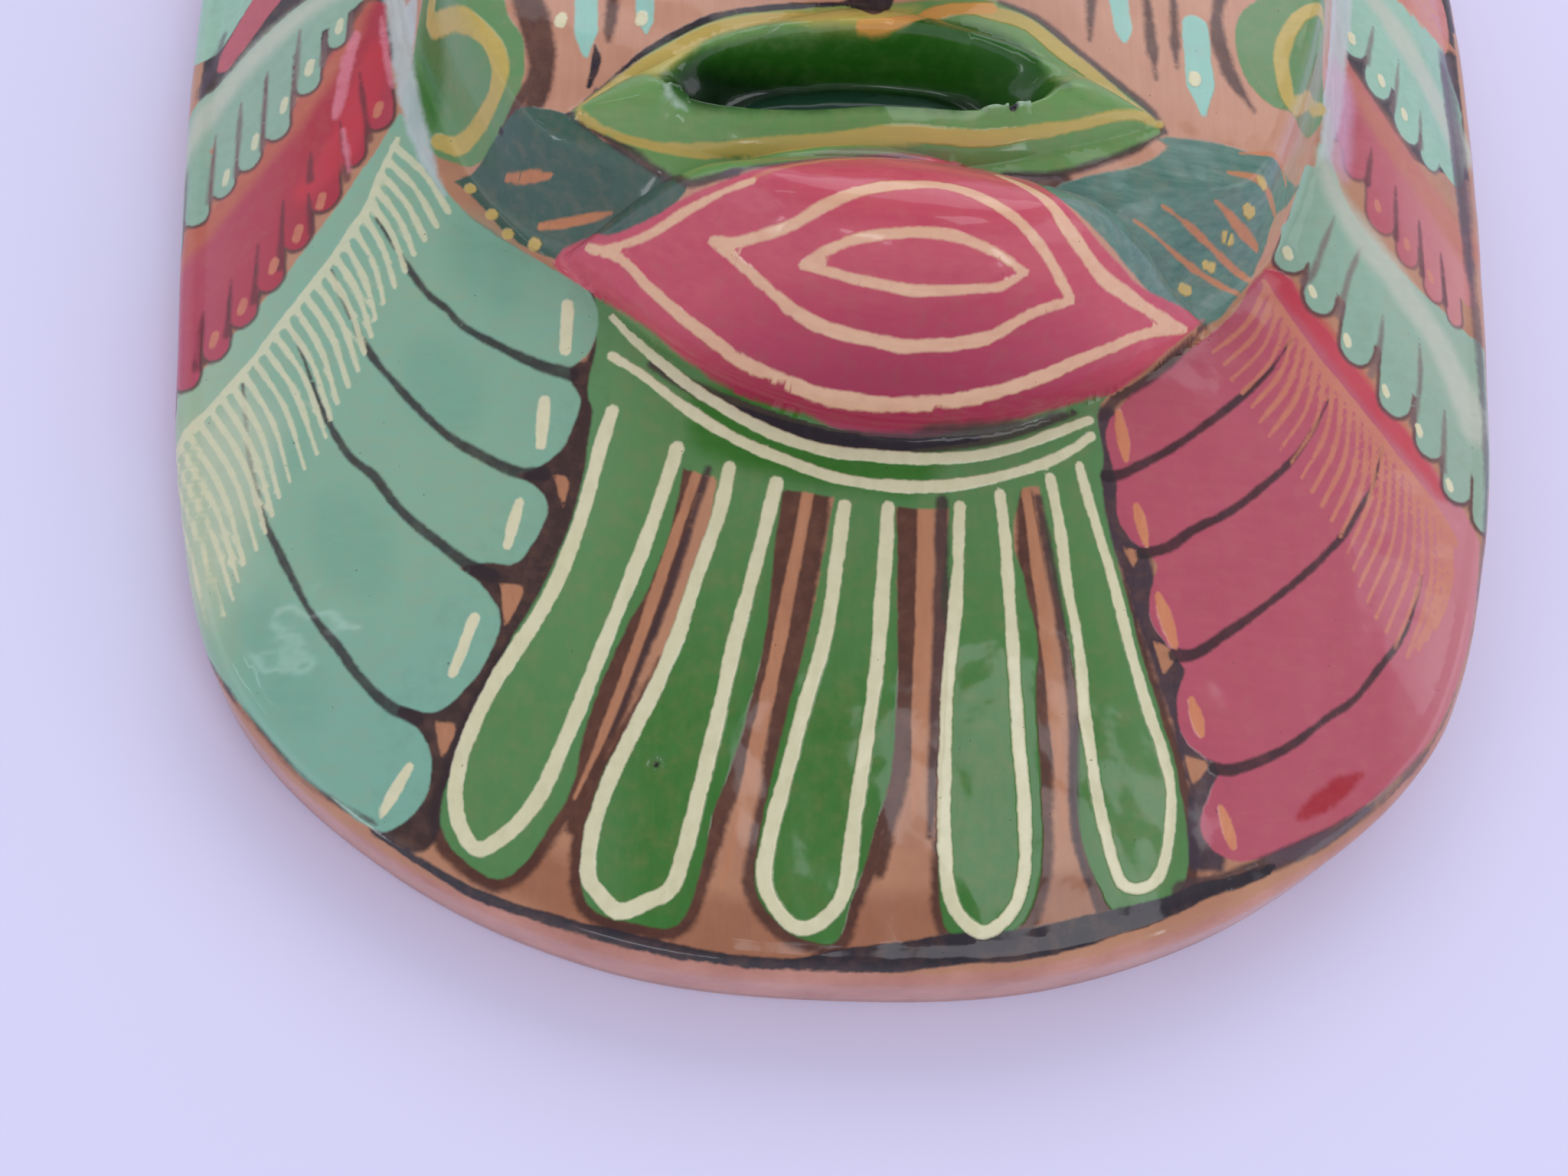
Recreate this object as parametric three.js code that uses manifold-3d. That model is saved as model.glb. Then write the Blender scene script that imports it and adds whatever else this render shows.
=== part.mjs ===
// A hollow terracotta face mask with a wide collar, lying on the open rim of its back.
// Millimetres: +X is to the right of the face, +Y runs from chin to forehead, +Z out of the face.
import * as THREE from "three";
import Module from "manifold-3d";

// The mask outline and the outline of the raised face, as radii from one centre,
// every 15 degrees from the chin end round to the forehead end. Both sides are alike.
const CENTRE_Y = -11;
const RADIUS_STEP = 15;
const MASK_RADII = [99, 100, 100, 98, 90, 84, 83, 87, 96, 108, 116.5, 120.8, 121];
const FACE_RADII = [41.5, 41.5, 41.5, 42, 44.5, 49, 53.5, 60, 69.3, 79, 84, 84.5, 84];

// The face was set into the mould a little to the right, most of all at the chin.
const FACE_SHIFT = 1.5;
const CHIN_SHIFT = 3;

// The clay sheet: collar, raised face and open back.
const EDGE_HEIGHT = 11.5;
const CREASE_HEIGHT = 27;
const COLLAR_SWELL = 1.45;
const EDGE_ROUND = 3.5;
const FOOT_ROUND = 1;
const RIM_WIDTH = 8.5;
const INSIDE_CORNER = 1.5;
const WALL = 6.8;
const FACE_RISE = 11.5;
const FACE_CROWN = 6;
const CHEEK_SLOPE = 7;
const JAW = { slope: 15, fullBelow: 58, goneAbove: 76 };
const INSIDE = { rise: 10, from: -4, to: 16 };

// Lens-shaped reliefs: centre, turn in degrees, half length, depth above and below the long axis.
const CHIN = {
  x: 3, y: -33.3, turn: -2.6, half: 38, up: 7, down: 18.2, rise: 9.5,
  point: 2.1, taper: 0.7, roundUp: 0.9, roundDown: 0.5,
};
const LIPS = {
  x: -1.7, y: -19.8, turn: 3, half: 33.5, up: 13, down: 8.5, rise: 5.5,
  point: 1.7, taper: 0.6, roundUp: 0.9, roundDown: 0.9,
};
const EYEBALL = {
  turn: 0, half: 14, up: 7, down: 5.5, rise: 4.5,
  point: 2, taper: 0.7, roundUp: 0.9, roundDown: 0.9,
};
const EYE = { apart: 26, y: 33, socket: 4.5, socketHalf: 15, socketTall: 10 };
const BROW = { y: 48, arch: 0.01, rise: 2.6, tall: 4.5, full: 8, gone: 24 };
const NOSE = {
  tipY: 9, under: 8, rise: 20, bridgeShare: 0.28, bridgeY: 49, foreheadY: 66, fadeY: 44,
  bridgeHalf: 5.5, baseHalf: 12.5, narrowY: 36, wideY: 4, flank: 2.6,
};
const NOSTRIL = { apart: 10.5, y: 6.5, rise: 5.5, wide: 4.2, tall: 5, flatness: 1.3 };

// The mouth is a blind slot: a flat-sided oval pit with a floor that swells in the middle.
const SLOT = {
  dx: -0.8, dy: 2.2, half: 21.5, tall: 5.2, squareness: 2.6,
  floor: 38, swell: 3, shoulder: 0.75, floorShare: 0.9, top: 60,
};

// How finely the surfaces are cut into facets.
const ANGLES = 112;
const INSIDE_ANGLES = ANGLES / 2;
const INSIDE_COLLAR_RINGS = 3;
const INSIDE_FACE_RINGS = 7;
const INSIDE_HALVED_RINGS = 2;
const SLOT_ANGLES = 40;
const FACE_RINGS = 29;
const QUARTER_WITHIN = 0.16;
const HALF_WITHIN = 0.36;
const COLLAR_RINGS = 5;
const EDGE_RINGS = 3;

const CLAY_COLOUR = 0xb9835a;
const CLAY_ROUGHNESS = 0.6;

const wasm = await Module();
wasm.setup();

function clamp01(value) {
  return Math.min(1, Math.max(0, value));
}

// Rises smoothly from 0 at `from` to 1 at `to`; the two may run downwards.
function ease(from, to, value) {
  const t = clamp01((value - from) / (to - from));
  return t * t * (3 - 2 * t);
}

// Radius at an angle from the chin end, by a Catmull-Rom curve through the listed radii.
function radiusAt(radii, angle) {
  const last = radii.length - 1;
  const degrees = Math.abs(THREE.MathUtils.euclideanModulo(angle * THREE.MathUtils.RAD2DEG + 180, 360) - 180);
  const place = degrees / RADIUS_STEP;
  const k = Math.min(Math.floor(place), last - 1);
  const t = place - k;
  const before = radii[k === 0 ? 1 : k - 1];
  const after = radii[k + 2 > last ? last - 1 : k + 2];
  const [a, b] = [radii[k], radii[k + 1]];
  const bend = 2 * before - 5 * a + 4 * b - after;
  return 0.5 * (2 * a + (b - before) * t + bend * t * t + (3 * a - before - 3 * b + after) * t ** 3);
}

function faceMiddle(y) {
  return FACE_SHIFT + CHIN_SHIFT * ease(0, -50, y);
}

// Where a point stands between the face outline and the mask outline.
function placeOf(x, y) {
  const mask = radiusAt(MASK_RADII, Math.atan2(x, CENTRE_Y - y));
  const dx = x - faceMiddle(y);
  const angle = Math.atan2(dx, CENTRE_Y - y);
  const radius = Math.hypot(dx, y - CENTRE_Y);
  return { radius, angle, mask, face: radiusAt(FACE_RADII, angle) };
}

function collarHeight(place) {
  const share = Math.max(0, (place.radius - place.face) / (place.mask - place.face));
  return EDGE_HEIGHT + (CREASE_HEIGHT - EDGE_HEIGHT) * (1 - share ** COLLAR_SWELL);
}

function turned(x, y, centreX, centreY, degrees) {
  const c = Math.cos(degrees * THREE.MathUtils.DEG2RAD);
  const s = Math.sin(degrees * THREE.MathUtils.DEG2RAD);
  return [(x - centreX) * c + (y - centreY) * s, (y - centreY) * c - (x - centreX) * s];
}

// A swelling with a pointed lens outline, highest midway between its two edges.
function lens(shape, x, y, centreX = shape.x, centreY = shape.y) {
  const [dx, dy] = turned(x, y, centreX, centreY, shape.turn);
  const end = 1 - (Math.abs(dx) / shape.half) ** shape.point;
  if (end <= 0) {
    return 0;
  }
  const crest = (end * (shape.up - shape.down)) / 2;
  const across = (dy - crest) / ((end * (shape.up + shape.down)) / 2);
  const roundness = across > 0 ? shape.roundUp : shape.roundDown;
  return shape.rise * end ** shape.taper * clamp01(1 - across ** 2) ** roundness;
}

function noseHeight(dx, y) {
  const half = NOSE.bridgeHalf + (NOSE.baseHalf - NOSE.bridgeHalf) * ease(NOSE.narrowY, NOSE.wideY, y);
  const below = NOSE.tipY - y;
  const up = clamp01(-below / (NOSE.bridgeY - NOSE.tipY));
  const underTip = Math.sqrt(clamp01(1 - (below / NOSE.under) ** 2));
  const ridge = below > 0 ? underTip : 1 - (1 - NOSE.bridgeShare) * up;
  const flank = Math.exp(-(Math.abs(dx / half) ** NOSE.flank));
  return NOSE.rise * ridge * ease(NOSE.foreheadY, NOSE.fadeY, y) * flank;
}

function eyeHeight(dx, y, side) {
  const ex = dx - side * EYE.apart;
  const ey = y - EYE.y;
  const socket = EYE.socket * Math.exp(-((ex / EYE.socketHalf) ** 2) - (ey / EYE.socketTall) ** 2);
  const browY = y - (BROW.y - BROW.arch * ex * ex);
  const brow = BROW.rise * Math.exp(-((browY / BROW.tall) ** 2)) * ease(BROW.gone, BROW.full, Math.abs(ex));
  return lens(EYEBALL, dx, y, side * EYE.apart, EYE.y) + brow - socket;
}

function nostrilHeight(dx, y, side) {
  const nx = (dx - side * NOSTRIL.apart) / NOSTRIL.wide;
  const ny = (y - NOSTRIL.y) / NOSTRIL.tall;
  return NOSTRIL.rise * Math.exp(-((nx * nx + ny * ny) ** NOSTRIL.flatness));
}

// Height of the painted front over the ground, without the mouth slot.
function frontHeight(x, y) {
  const place = placeOf(x, y);
  const inset = place.face - place.radius;
  if (inset <= 0) {
    return collarHeight(place) + lens(CHIN, x, y);
  }
  const jaw = ease(JAW.goneAbove, JAW.fullBelow, Math.abs(place.angle) * THREE.MathUtils.RAD2DEG);
  const slope = THREE.MathUtils.lerp(CHEEK_SLOPE, JAW.slope, jaw);
  const crown = FACE_CROWN * (1 - (place.radius / place.face) ** 2);
  const dx = x - FACE_SHIFT;
  let height = CREASE_HEIGHT + FACE_RISE * ease(0, slope, inset) + crown;
  height += lens(CHIN, x, y) + lens(LIPS, x, y) + noseHeight(dx, y);
  for (const side of [-1, 1]) {
    height += eyeHeight(dx, y, side) + nostrilHeight(dx, y, side);
  }
  return height;
}

// Height of the bare clay inside, one wall thickness behind the plain collar and face.
function insideHeight(x, y) {
  const place = placeOf(x, y);
  const rise = INSIDE.rise * ease(INSIDE.from, INSIDE.to, place.face - place.radius);
  return collarHeight(place) + rise - WALL;
}

function onRay(angle, radius, shift = 0) {
  return [shift + radius * Math.sin(angle), CENTRE_Y - radius * Math.cos(angle)];
}

// A plan point inside the face, at a share of the way out to the face outline.
function facePoint(angle, share) {
  const radius = share * radiusAt(FACE_RADII, angle);
  return onRay(angle, radius, faceMiddle(CENTRE_Y - radius * Math.cos(angle)));
}

// A plan point on the collar, at a share of the way from the face outline to an inset mask outline.
function collarPoint(angle, share, inset) {
  const [fx, fy] = facePoint(angle, 1);
  const [mx, my] = onRay(angle, radiusAt(MASK_RADII, angle) - inset);
  return [THREE.MathUtils.lerp(fx, mx, share), THREE.MathUtils.lerp(fy, my, share)];
}

// Collects closed rings of points and the strips of triangles between them.
class RingMesh {
  constructor() {
    this.points = [];
    this.faces = [];
  }

  ring(count, pointAt) {
    const start = this.points.length;
    for (let i = 0; i < count; i += 1) {
      this.points.push(pointAt((2 * Math.PI * i) / count));
    }
    return { start, count };
  }

  // Joins an inner ring to the next one out, which has as many points or twice as many.
  strip(inner, outer) {
    const ratio = outer.count / inner.count;
    for (let i = 0; i < inner.count; i += 1) {
      const a = inner.start + i;
      const b = inner.start + ((i + 1) % inner.count);
      const steps = [];
      for (let k = 0; k <= ratio; k += 1) {
        steps.push(outer.start + ((i * ratio + k) % outer.count));
      }
      this.faces.push([a, steps[0], steps[1]]);
      if (ratio === 2) {
        this.faces.push([a, steps[1], b], [b, steps[1], steps[2]]);
      } else {
        this.faces.push([a, steps[1], b]);
      }
    }
  }

  // The same strip seen from its other side, from an outer ring in to one with half as many points.
  stripInward(outer, inner) {
    const start = this.faces.length;
    this.strip(inner, outer);
    for (let i = start; i < this.faces.length; i += 1) {
      this.faces[i].reverse();
    }
  }

  fan(ring, centre, inward = false) {
    const tip = this.points.push(centre) - 1;
    for (let i = 0; i < ring.count; i += 1) {
      const [a, b] = [ring.start + i, ring.start + ((i + 1) % ring.count)];
      this.faces.push(inward ? [tip, b, a] : [tip, a, b]);
    }
  }

  solid() {
    const mesh = new wasm.Mesh({
      numProp: 3,
      vertProperties: new Float32Array(this.points.flat()),
      triVerts: new Uint32Array(this.faces.flat()),
    });
    return new wasm.Manifold(mesh);
  }
}

// Fewer points on the small rings near the middle, so that their triangles stay well shaped.
function anglesFor(share) {
  if (share < QUARTER_WITHIN) {
    return ANGLES / 4;
  }
  return share < HALF_WITHIN ? ANGLES / 2 : ANGLES;
}

function addFront(mesh) {
  const middle = onRay(0, 0, faceMiddle(CENTRE_Y));
  let last = null;
  for (let i = 1; i <= FACE_RINGS; i += 1) {
    const share = i / FACE_RINGS;
    const ring = mesh.ring(anglesFor(share), (angle) => {
      const [x, y] = facePoint(angle, share);
      return [x, y, frontHeight(x, y)];
    });
    if (last) {
      mesh.strip(last, ring);
    } else {
      mesh.fan(ring, [...middle, frontHeight(...middle)]);
    }
    last = ring;
  }
  for (let i = 1; i <= COLLAR_RINGS; i += 1) {
    const ring = mesh.ring(ANGLES, (angle) => {
      const [x, y] = collarPoint(angle, i / COLLAR_RINGS, EDGE_ROUND);
      return [x, y, frontHeight(x, y)];
    });
    mesh.strip(last, ring);
    last = ring;
  }
  return last;
}

// The rolled edge of the collar, its upright side and the slightly rounded foot.
function addEdge(mesh, collarRing) {
  let last = collarRing;
  const add = (inset, heightAt) => {
    const ring = mesh.ring(ANGLES, (angle) => {
      const [x, y] = onRay(angle, radiusAt(MASK_RADII, angle) - inset);
      return [x, y, heightAt(angle)];
    });
    mesh.strip(last, ring);
    last = ring;
  };
  for (let i = 1; i <= EDGE_RINGS; i += 1) {
    const turn = (Math.PI / 2) * (i / EDGE_RINGS);
    const drop = EDGE_ROUND * (1 - Math.cos(turn));
    add(EDGE_ROUND * (1 - Math.sin(turn)), (angle) => {
      return frontHeight(...collarPoint(angle, 1, EDGE_ROUND)) - drop;
    });
  }
  add(0, () => FOOT_ROUND);
  add(FOOT_ROUND, () => 0);
  return last;
}

// The flat rim under the mask, and the hollow behind it up to the middle of the face.
function addInside(mesh, footRing) {
  const rim = mesh.ring(INSIDE_ANGLES, (angle) => {
    return [...onRay(angle, radiusAt(MASK_RADII, angle) - RIM_WIDTH), 0];
  });
  mesh.stripInward(footRing, rim);
  let last = rim;
  for (let i = INSIDE_COLLAR_RINGS; i >= 1; i -= 1) {
    const ring = mesh.ring(INSIDE_ANGLES, (angle) => {
      const [x, y] = collarPoint(angle, i / INSIDE_COLLAR_RINGS, RIM_WIDTH + INSIDE_CORNER);
      return [x, y, insideHeight(x, y)];
    });
    mesh.strip(last, ring);
    last = ring;
  }
  for (let i = INSIDE_FACE_RINGS; i >= 1; i -= 1) {
    const share = i / INSIDE_FACE_RINGS;
    const count = i <= INSIDE_HALVED_RINGS ? INSIDE_ANGLES / 2 : INSIDE_ANGLES;
    const ring = mesh.ring(count, (angle) => {
      const [x, y] = facePoint(angle, share);
      return [x, y, insideHeight(x, y)];
    });
    mesh.stripInward(last, ring);
    last = ring;
  }
  const middle = onRay(0, 0, faceMiddle(CENTRE_Y));
  mesh.fan(last, [...middle, insideHeight(...middle)], true);
}

function maskSolid() {
  const mesh = new RingMesh();
  const collarRing = addFront(mesh);
  const footRing = addEdge(mesh, collarRing);
  addInside(mesh, footRing);
  return mesh.solid();
}

// A point of the mouth slot, in the plan, at a share of the way out to its outline.
function slotPoint(angle, share) {
  const power = 2 / SLOT.squareness;
  const along = Math.sign(Math.sin(angle)) * Math.abs(Math.sin(angle)) ** power;
  const up = -Math.sign(Math.cos(angle)) * Math.abs(Math.cos(angle)) ** power;
  const dx = SLOT.dx + share * SLOT.half * along;
  const dy = SLOT.dy + share * SLOT.tall * up;
  const c = Math.cos(LIPS.turn * THREE.MathUtils.DEG2RAD);
  const s = Math.sin(LIPS.turn * THREE.MathUtils.DEG2RAD);
  return [LIPS.x + dx * c - dy * s, LIPS.y + dx * s + dy * c];
}

// What is cut away between the lips.
function slotSolid() {
  const mesh = new RingMesh();
  const ringAt = (share, height) => mesh.ring(SLOT_ANGLES, (angle) => [...slotPoint(angle, share), height]);
  const top = ringAt(1, SLOT.top);
  const foot = ringAt(SLOT.floorShare, SLOT.floor);
  const middle = ringAt(SLOT.floorShare / 2, SLOT.floor + SLOT.swell * SLOT.shoulder);
  mesh.fan(top, [...slotPoint(0, 0), SLOT.top]);
  mesh.strip(top, foot);
  mesh.strip(foot, middle);
  mesh.fan(middle, [...slotPoint(0, 0), SLOT.floor + SLOT.swell], true);
  return mesh.solid();
}

function geometryOf(solid) {
  const cut = solid.getMesh();
  const geometry = new THREE.BufferGeometry();
  geometry.setAttribute("position", new THREE.BufferAttribute(new Float32Array(cut.vertProperties), 3));
  geometry.setIndex(new THREE.BufferAttribute(new Uint32Array(cut.triVerts), 1));
  geometry.computeVertexNormals();
  return geometry;
}

const clay = new THREE.MeshStandardMaterial({ color: CLAY_COLOUR, roughness: CLAY_ROUGHNESS, metalness: 0 });
const mask = new THREE.Mesh(geometryOf(maskSolid().subtract(slotSolid())), clay);
mask.name = "mask";

const group = new THREE.Group();
group.add(mask);
export default group;
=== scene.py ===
"""Looks of a hand-painted terracotta mask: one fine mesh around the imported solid, painted in layers.

Lengths below are millimetres in the part's own frame, +X to the right of the face, +Y from chin to
forehead, +Z out of the face. They become metres when the mesh is made.
"""

import math

import bpy
import numpy as np
from mathutils import Matrix, Vector
from mathutils.geometry import delaunay_2d_cdt


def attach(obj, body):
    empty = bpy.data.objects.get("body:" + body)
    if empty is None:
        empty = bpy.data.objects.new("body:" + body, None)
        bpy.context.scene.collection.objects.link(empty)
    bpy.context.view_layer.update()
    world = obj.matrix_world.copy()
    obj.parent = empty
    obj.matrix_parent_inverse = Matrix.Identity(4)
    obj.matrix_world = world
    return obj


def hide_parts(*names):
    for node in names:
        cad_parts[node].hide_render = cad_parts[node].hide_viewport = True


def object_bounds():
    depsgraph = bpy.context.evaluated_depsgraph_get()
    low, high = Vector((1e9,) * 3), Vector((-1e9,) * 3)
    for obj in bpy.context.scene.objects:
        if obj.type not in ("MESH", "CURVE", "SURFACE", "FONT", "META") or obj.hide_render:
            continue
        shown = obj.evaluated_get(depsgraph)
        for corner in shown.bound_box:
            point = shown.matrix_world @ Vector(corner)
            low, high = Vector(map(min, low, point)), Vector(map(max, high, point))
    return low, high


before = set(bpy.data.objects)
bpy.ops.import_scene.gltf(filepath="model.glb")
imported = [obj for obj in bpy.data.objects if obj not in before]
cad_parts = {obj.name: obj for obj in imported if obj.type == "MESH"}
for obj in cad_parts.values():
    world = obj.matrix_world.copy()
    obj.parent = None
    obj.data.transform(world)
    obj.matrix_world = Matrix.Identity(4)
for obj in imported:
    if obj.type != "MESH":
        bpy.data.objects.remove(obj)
CAD_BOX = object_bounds()

MM = 0.001

# The form, as in the solid: outlines as radii from one centre, every 15 degrees from the chin end.
CENTRE_Y = -11.0
RADIUS_STEP = 15.0
MASK_RADII = [99, 100, 100, 98, 90, 84, 83, 87, 96, 108, 116.5, 120.8, 121]
FACE_RADII = [41.5, 41.5, 41.5, 42, 44.5, 49, 53.5, 60, 69.3, 79, 84, 84.5, 84]
FACE_SHIFT = 1.5
CHIN_SHIFT = 3.0
CHIN_SHIFT_FROM = 0.0
CHIN_SHIFT_TO = -50.0
EDGE_HEIGHT = 11.5
CREASE_HEIGHT = 27.0
COLLAR_SWELL = 1.45
EDGE_ROUND = 3.5
FOOT_ROUND = 1.0
RIM_WIDTH = 8.5
INSIDE_CORNER = 1.5
WALL = 6.8
FACE_RISE = 11.5
FACE_CROWN = 6.0
CHEEK_SLOPE = 7.0
JAW = dict(slope=15.0, full_below=58.0, gone_above=76.0)
INSIDE = dict(rise=10.0, low=-4.0, high=16.0)
CHIN = dict(x=3.0, y=-33.3, turn=-2.6, half=38.0, up=7.0, down=18.2, rise=9.5,
            point=2.1, taper=0.7, round_up=0.9, round_down=0.5)
LIPS = dict(x=-1.7, y=-19.8, turn=3.0, half=33.5, up=13.0, down=8.5, rise=5.5,
            point=1.7, taper=0.6, round_up=0.9, round_down=0.9)
EYEBALL = dict(turn=0.0, half=14.0, up=7.0, down=5.5, rise=4.5,
               point=2.0, taper=0.7, round_up=0.9, round_down=0.9)
EYE = dict(apart=26.0, y=33.0, socket=4.5, socket_half=15.0, socket_tall=10.0)
BROW = dict(y=48.0, arch=0.01, rise=2.6, tall=4.5, full=8.0, gone=24.0)
NOSE = dict(tip_y=9.0, under=8.0, rise=20.0, bridge_share=0.28, bridge_y=49.0, forehead_y=66.0,
            fade_y=44.0, bridge_half=5.5, base_half=12.5, narrow_y=36.0, wide_y=4.0, flank=2.6)
NOSTRIL = dict(apart=10.5, y=6.5, rise=5.5, wide=4.2, tall=5.0, flatness=1.3)

# The mouth slot: outline in the lips' turned frame, and what shows inside it.
SLOT = dict(dx=-0.8, dy=2.2, half=21.5, tall=5.2, squareness=2.6, depth=9.5,
            steep_from=1.03, steep_to=0.82, gentle_from=1.3, gentle_to=0.48,
            steep_below=-0.35, gentle_above=0.45,
            roll=0.6, roll_dy=0.4, roll_tall=3.0, roll_end=0.95, roll_full=0.5)
# Beads of thick glaze at the two ends of the slot: centre, size and height.
GLAZE_BEADS = [(-23.0, -21.6, 1.4, 2.2, 2.2), (11.0, -20.4, 2.6, 1.3, 2.6), (14.2, -20.0, 1.6, 1.6, 1.8)]
BEAD_ABOVE = 0.3
BEAD_ROUND = 0.7
# A pit in the second green leaf and a pinhole in the glaze: centre, radius and depth.
PITS = [(-21.4, -88.4, 0.75, 0.8), (13.8, -20.9, 0.6, 0.8)]
# The hand-pressed clay is never quite even: wave length and depth of each set of waves.
UNEVEN = [(34.0, 0.16), (17.0, 0.10), (7.5, 0.035), (3.6, 0.012)]
WAVES_PER_SET = 5
WAVE_STRETCH = (0.7, 1.3)
WAVES_LOWERED = 1.5
SEED = 7

# The photograph's view: what the camera looks at, how far off, its two angles and its roll.
VIEW_TARGET = (-7.92, -67.2, 18.0)
VIEW_DISTANCE = 224.1
VIEW_ELEVATION = 66.0
VIEW_AZIMUTH = -12.0
VIEW_ROLL = -0.8
SENSOR_WIDTH = 36.0
VIEW_LENS = 45.7


def clamp01(value):
    return np.clip(value, 0.0, 1.0)


def ease(low, high, value):
    """Rises smoothly from 0 at low to 1 at high; the two may run downwards."""
    t = clamp01((value - low) / (high - low))
    return t * t * (3 - 2 * t)


def ease_long(low, high, value):
    """Like ease, with softer beginnings."""
    t = clamp01((value - low) / (high - low))
    return t ** 3 * (t * (6 * t - 15) + 10)


def make_camera():
    elevation, azimuth, roll = (math.radians(a) for a in (VIEW_ELEVATION, VIEW_AZIMUTH, VIEW_ROLL))
    back = Vector((math.sin(azimuth) * math.cos(elevation),
                   -math.cos(azimuth) * math.cos(elevation), math.sin(elevation)))
    place = Vector(VIEW_TARGET) + back * VIEW_DISTANCE
    right = (-back).cross(Vector((math.sin(roll), math.cos(roll), 0.0))).normalized()
    up = back.cross(right)
    turn = Matrix((right, up, back)).transposed().to_4x4()
    camera = bpy.data.objects.new("camera", bpy.data.cameras.new("camera"))
    camera.data.sensor_width = SENSOR_WIDTH
    camera.data.lens = VIEW_LENS
    camera.data.clip_start = 0.01
    camera.matrix_world = Matrix.Translation(place * MM) @ turn
    bpy.context.scene.collection.objects.link(camera)
    bpy.context.scene.camera = camera


# The form

def radius_at(radii, angle):
    """Radius at an angle from the chin end, by a Catmull-Rom curve through the listed radii."""
    r = np.array(radii, float)
    full = np.concatenate([[r[1]], r, [r[-2]]])
    place = np.abs((np.degrees(angle) + 180) % 360 - 180) / RADIUS_STEP
    k = np.minimum(place.astype(int), len(r) - 2)
    t = place - k
    before, a, b, after = full[k], full[k + 1], full[k + 2], full[k + 3]
    bend = 2 * before - 5 * a + 4 * b - after
    return 0.5 * (2 * a + (b - before) * t + bend * t ** 2 + (3 * a - before - 3 * b + after) * t ** 3)


def face_middle(y):
    return FACE_SHIFT + CHIN_SHIFT * ease(CHIN_SHIFT_FROM, CHIN_SHIFT_TO, y)


def place_of(x, y):
    """Where a point stands: radius and angle round the face's middle, and the two outlines there."""
    mask = radius_at(MASK_RADII, np.arctan2(x, CENTRE_Y - y))
    dx = x - face_middle(y)
    angle = np.arctan2(dx, CENTRE_Y - y)
    return np.hypot(dx, y - CENTRE_Y), angle, radius_at(FACE_RADII, angle), mask


def collar_height(radius, face, mask):
    share = np.maximum(0, (radius - face) / (mask - face))
    return EDGE_HEIGHT + (CREASE_HEIGHT - EDGE_HEIGHT) * (1 - share ** COLLAR_SWELL)


def turned(x, y, centre_x, centre_y, degrees):
    c, s = math.cos(math.radians(degrees)), math.sin(math.radians(degrees))
    return (x - centre_x) * c + (y - centre_y) * s, (y - centre_y) * c - (x - centre_x) * s


def lens(shape, x, y, centre_x=None, centre_y=None):
    """A swelling with a pointed lens outline, highest midway between its two edges."""
    centre_x = shape["x"] if centre_x is None else centre_x
    centre_y = shape["y"] if centre_y is None else centre_y
    dx, dy = turned(x, y, centre_x, centre_y, shape["turn"])
    end = clamp01(1 - (np.abs(dx) / shape["half"]) ** shape["point"])
    safe = np.maximum(end, 1e-4)
    crest = safe * (shape["up"] - shape["down"]) / 2
    across = (dy - crest) / (safe * (shape["up"] + shape["down"]) / 2)
    roundness = np.where(across > 0, shape["round_up"], shape["round_down"])
    return shape["rise"] * end ** shape["taper"] * clamp01(1 - across ** 2) ** roundness


def nose_height(dx, y):
    widening = ease(NOSE["narrow_y"], NOSE["wide_y"], y)
    half = NOSE["bridge_half"] + (NOSE["base_half"] - NOSE["bridge_half"]) * widening
    below = NOSE["tip_y"] - y
    up = clamp01(-below / (NOSE["bridge_y"] - NOSE["tip_y"]))
    under_tip = np.sqrt(clamp01(1 - (below / NOSE["under"]) ** 2))
    ridge = np.where(below > 0, under_tip, 1 - (1 - NOSE["bridge_share"]) * up)
    fading = ease(NOSE["forehead_y"], NOSE["fade_y"], y)
    return NOSE["rise"] * ridge * fading * np.exp(-np.abs(dx / half) ** NOSE["flank"])


def eye_height(dx, y, side):
    ex, ey = dx - side * EYE["apart"], y - EYE["y"]
    socket = EYE["socket"] * np.exp(-(ex / EYE["socket_half"]) ** 2 - (ey / EYE["socket_tall"]) ** 2)
    brow_y = y - (BROW["y"] - BROW["arch"] * ex * ex)
    brow = BROW["rise"] * np.exp(-(brow_y / BROW["tall"]) ** 2) * ease(BROW["gone"], BROW["full"], np.abs(ex))
    return lens(EYEBALL, dx, y, side * EYE["apart"], EYE["y"]) + brow - socket


def nostril_height(dx, y, side):
    nx, ny = (dx - side * NOSTRIL["apart"]) / NOSTRIL["wide"], (y - NOSTRIL["y"]) / NOSTRIL["tall"]
    return NOSTRIL["rise"] * np.exp(-(nx * nx + ny * ny) ** NOSTRIL["flatness"])


def slot_share(x, y):
    """0 at the middle of the mouth slot and 1 on its outline, with the place across it."""
    dx, dy = turned(x, y, LIPS["x"], LIPS["y"], LIPS["turn"])
    along, across = (dx - SLOT["dx"]) / SLOT["half"], (dy - SLOT["dy"]) / SLOT["tall"]
    power = SLOT["squareness"]
    return (np.abs(along) ** power + np.abs(across) ** power) ** (1 / power), along, across


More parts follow.
